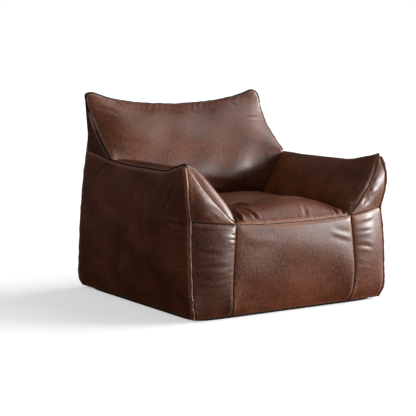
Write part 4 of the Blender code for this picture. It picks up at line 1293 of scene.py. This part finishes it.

# %% [markdown]
# ## The filling bags
#
# Inside are four bags of polystyrene beads: one under the seat, one in the back and one in each arm. Their solids
# come from the frame, since they must fit inside the cover without crossing it. A solid is copied, its loose
# triangles are merged, it is split once into smaller faces of the same shape, and slow ripples are added, which are
# the same for a bag and for its beads because they depend only on place.

# %% Subdividing and rippling a solid
LINER_CLOTH, tree, shader, place = material("liner_cotton", **{"Roughness": 0.9, "Base Color": linear("#cfcabf")})
threads = add(tree, "ShaderNodeTexWave", {"Vector": place, "Scale": 1000 / 0.9, "Distortion": 0.4}).outputs["Fac"]
thread_bump = add(tree, "ShaderNodeBump", {"Height": threads, "Strength": 0.3, "Distance": 0.0002})
tree.links.new(thread_bump.outputs[0], shader.inputs["Normal"])
BEADS, tree, shader, place = material("polystyrene_beads", **{"Roughness": 0.7, "IOR": 1.33, "Base Color": linear("#f1f0ec")})
bead = add(tree, "ShaderNodeTexVoronoi", {"Vector": place, "Scale": 1000 / 3.5}).outputs["Distance"]
bead_bump = add(tree, "ShaderNodeBump", {"Height": bead, "Strength": 0.8, "Distance": 0.0015}, invert=True)
tree.links.new(bead_bump.outputs[0], shader.inputs["Normal"])


def rippled(points, height=0.0007, wave=0.06):
    """The points moved by slow sines of their own places, at most by about this height."""
    x, y, z = points.T
    turn = 2 * np.pi / wave
    shift = [np.sin(turn * y + 3 * z), np.sin(turn * z + 2 * x), np.sin(turn * x + 2 * y)]
    return points + height * np.stack(shift, axis=-1)


def rounded_copy(node, paint):
    """The node's solid, merged, subdivided once and rippled, as a piece that stands for the node."""
    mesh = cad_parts[node].data.copy()
    copy = bpy.data.objects.new("to_be_rounded", mesh)
    bpy.context.scene.collection.objects.link(copy)
    weld = copy.modifiers.new("merge", "WELD")
    weld.merge_threshold = 0.00002
    finer_mesh = copy.modifiers.new("finer", "SUBSURF")
    finer_mesh.subdivision_type = "SIMPLE"
    finer_mesh.levels = finer_mesh.render_levels = 1
    shape = copy.evaluated_get(bpy.context.evaluated_depsgraph_get()).data
    points = np.empty(len(shape.vertices) * 3, np.float32)
    shape.vertices.foreach_get("co", points)
    faces = [list(p.vertices) for p in shape.polygons]
    bpy.data.objects.remove(copy)
    bpy.data.meshes.remove(mesh)
    piece = make_piece(f"{node}_soft", rippled(points.reshape(-1, 3).astype(float)), faces, paint)
    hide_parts(node)
    return piece


# %% The four bags
for bag in ("base", "back", "left_arm", "right_arm"):
    beads = rounded_copy(f"{bag}_beads", BEADS)
    liner = rounded_copy(f"{bag}_liner", LINER_CLOTH)
    flap = rounded_copy(f"{bag}_liner_flap", LINER_CLOTH)
    low, high = (np.array(c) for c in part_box(f"{bag}_liner"))
    girth, run = np.sort(high - low)[:2].sum() * 2, np.sort(high - low)[2]
    cloth_area = area_of(liner.data) / 2
    low, high = (np.array(c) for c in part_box(f"{bag}_liner_flap"))
    size = np.sort(high - low)[1:]
    min(area_of(flap.data) / 2, float(size.prod()))
    print(f"{bag}: bag cloth {cloth_area:.3f} m2")

# %% Size and finish
low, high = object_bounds()
print("visual box", [round(c, 4) for c in low], [round(c, 4) for c in high])
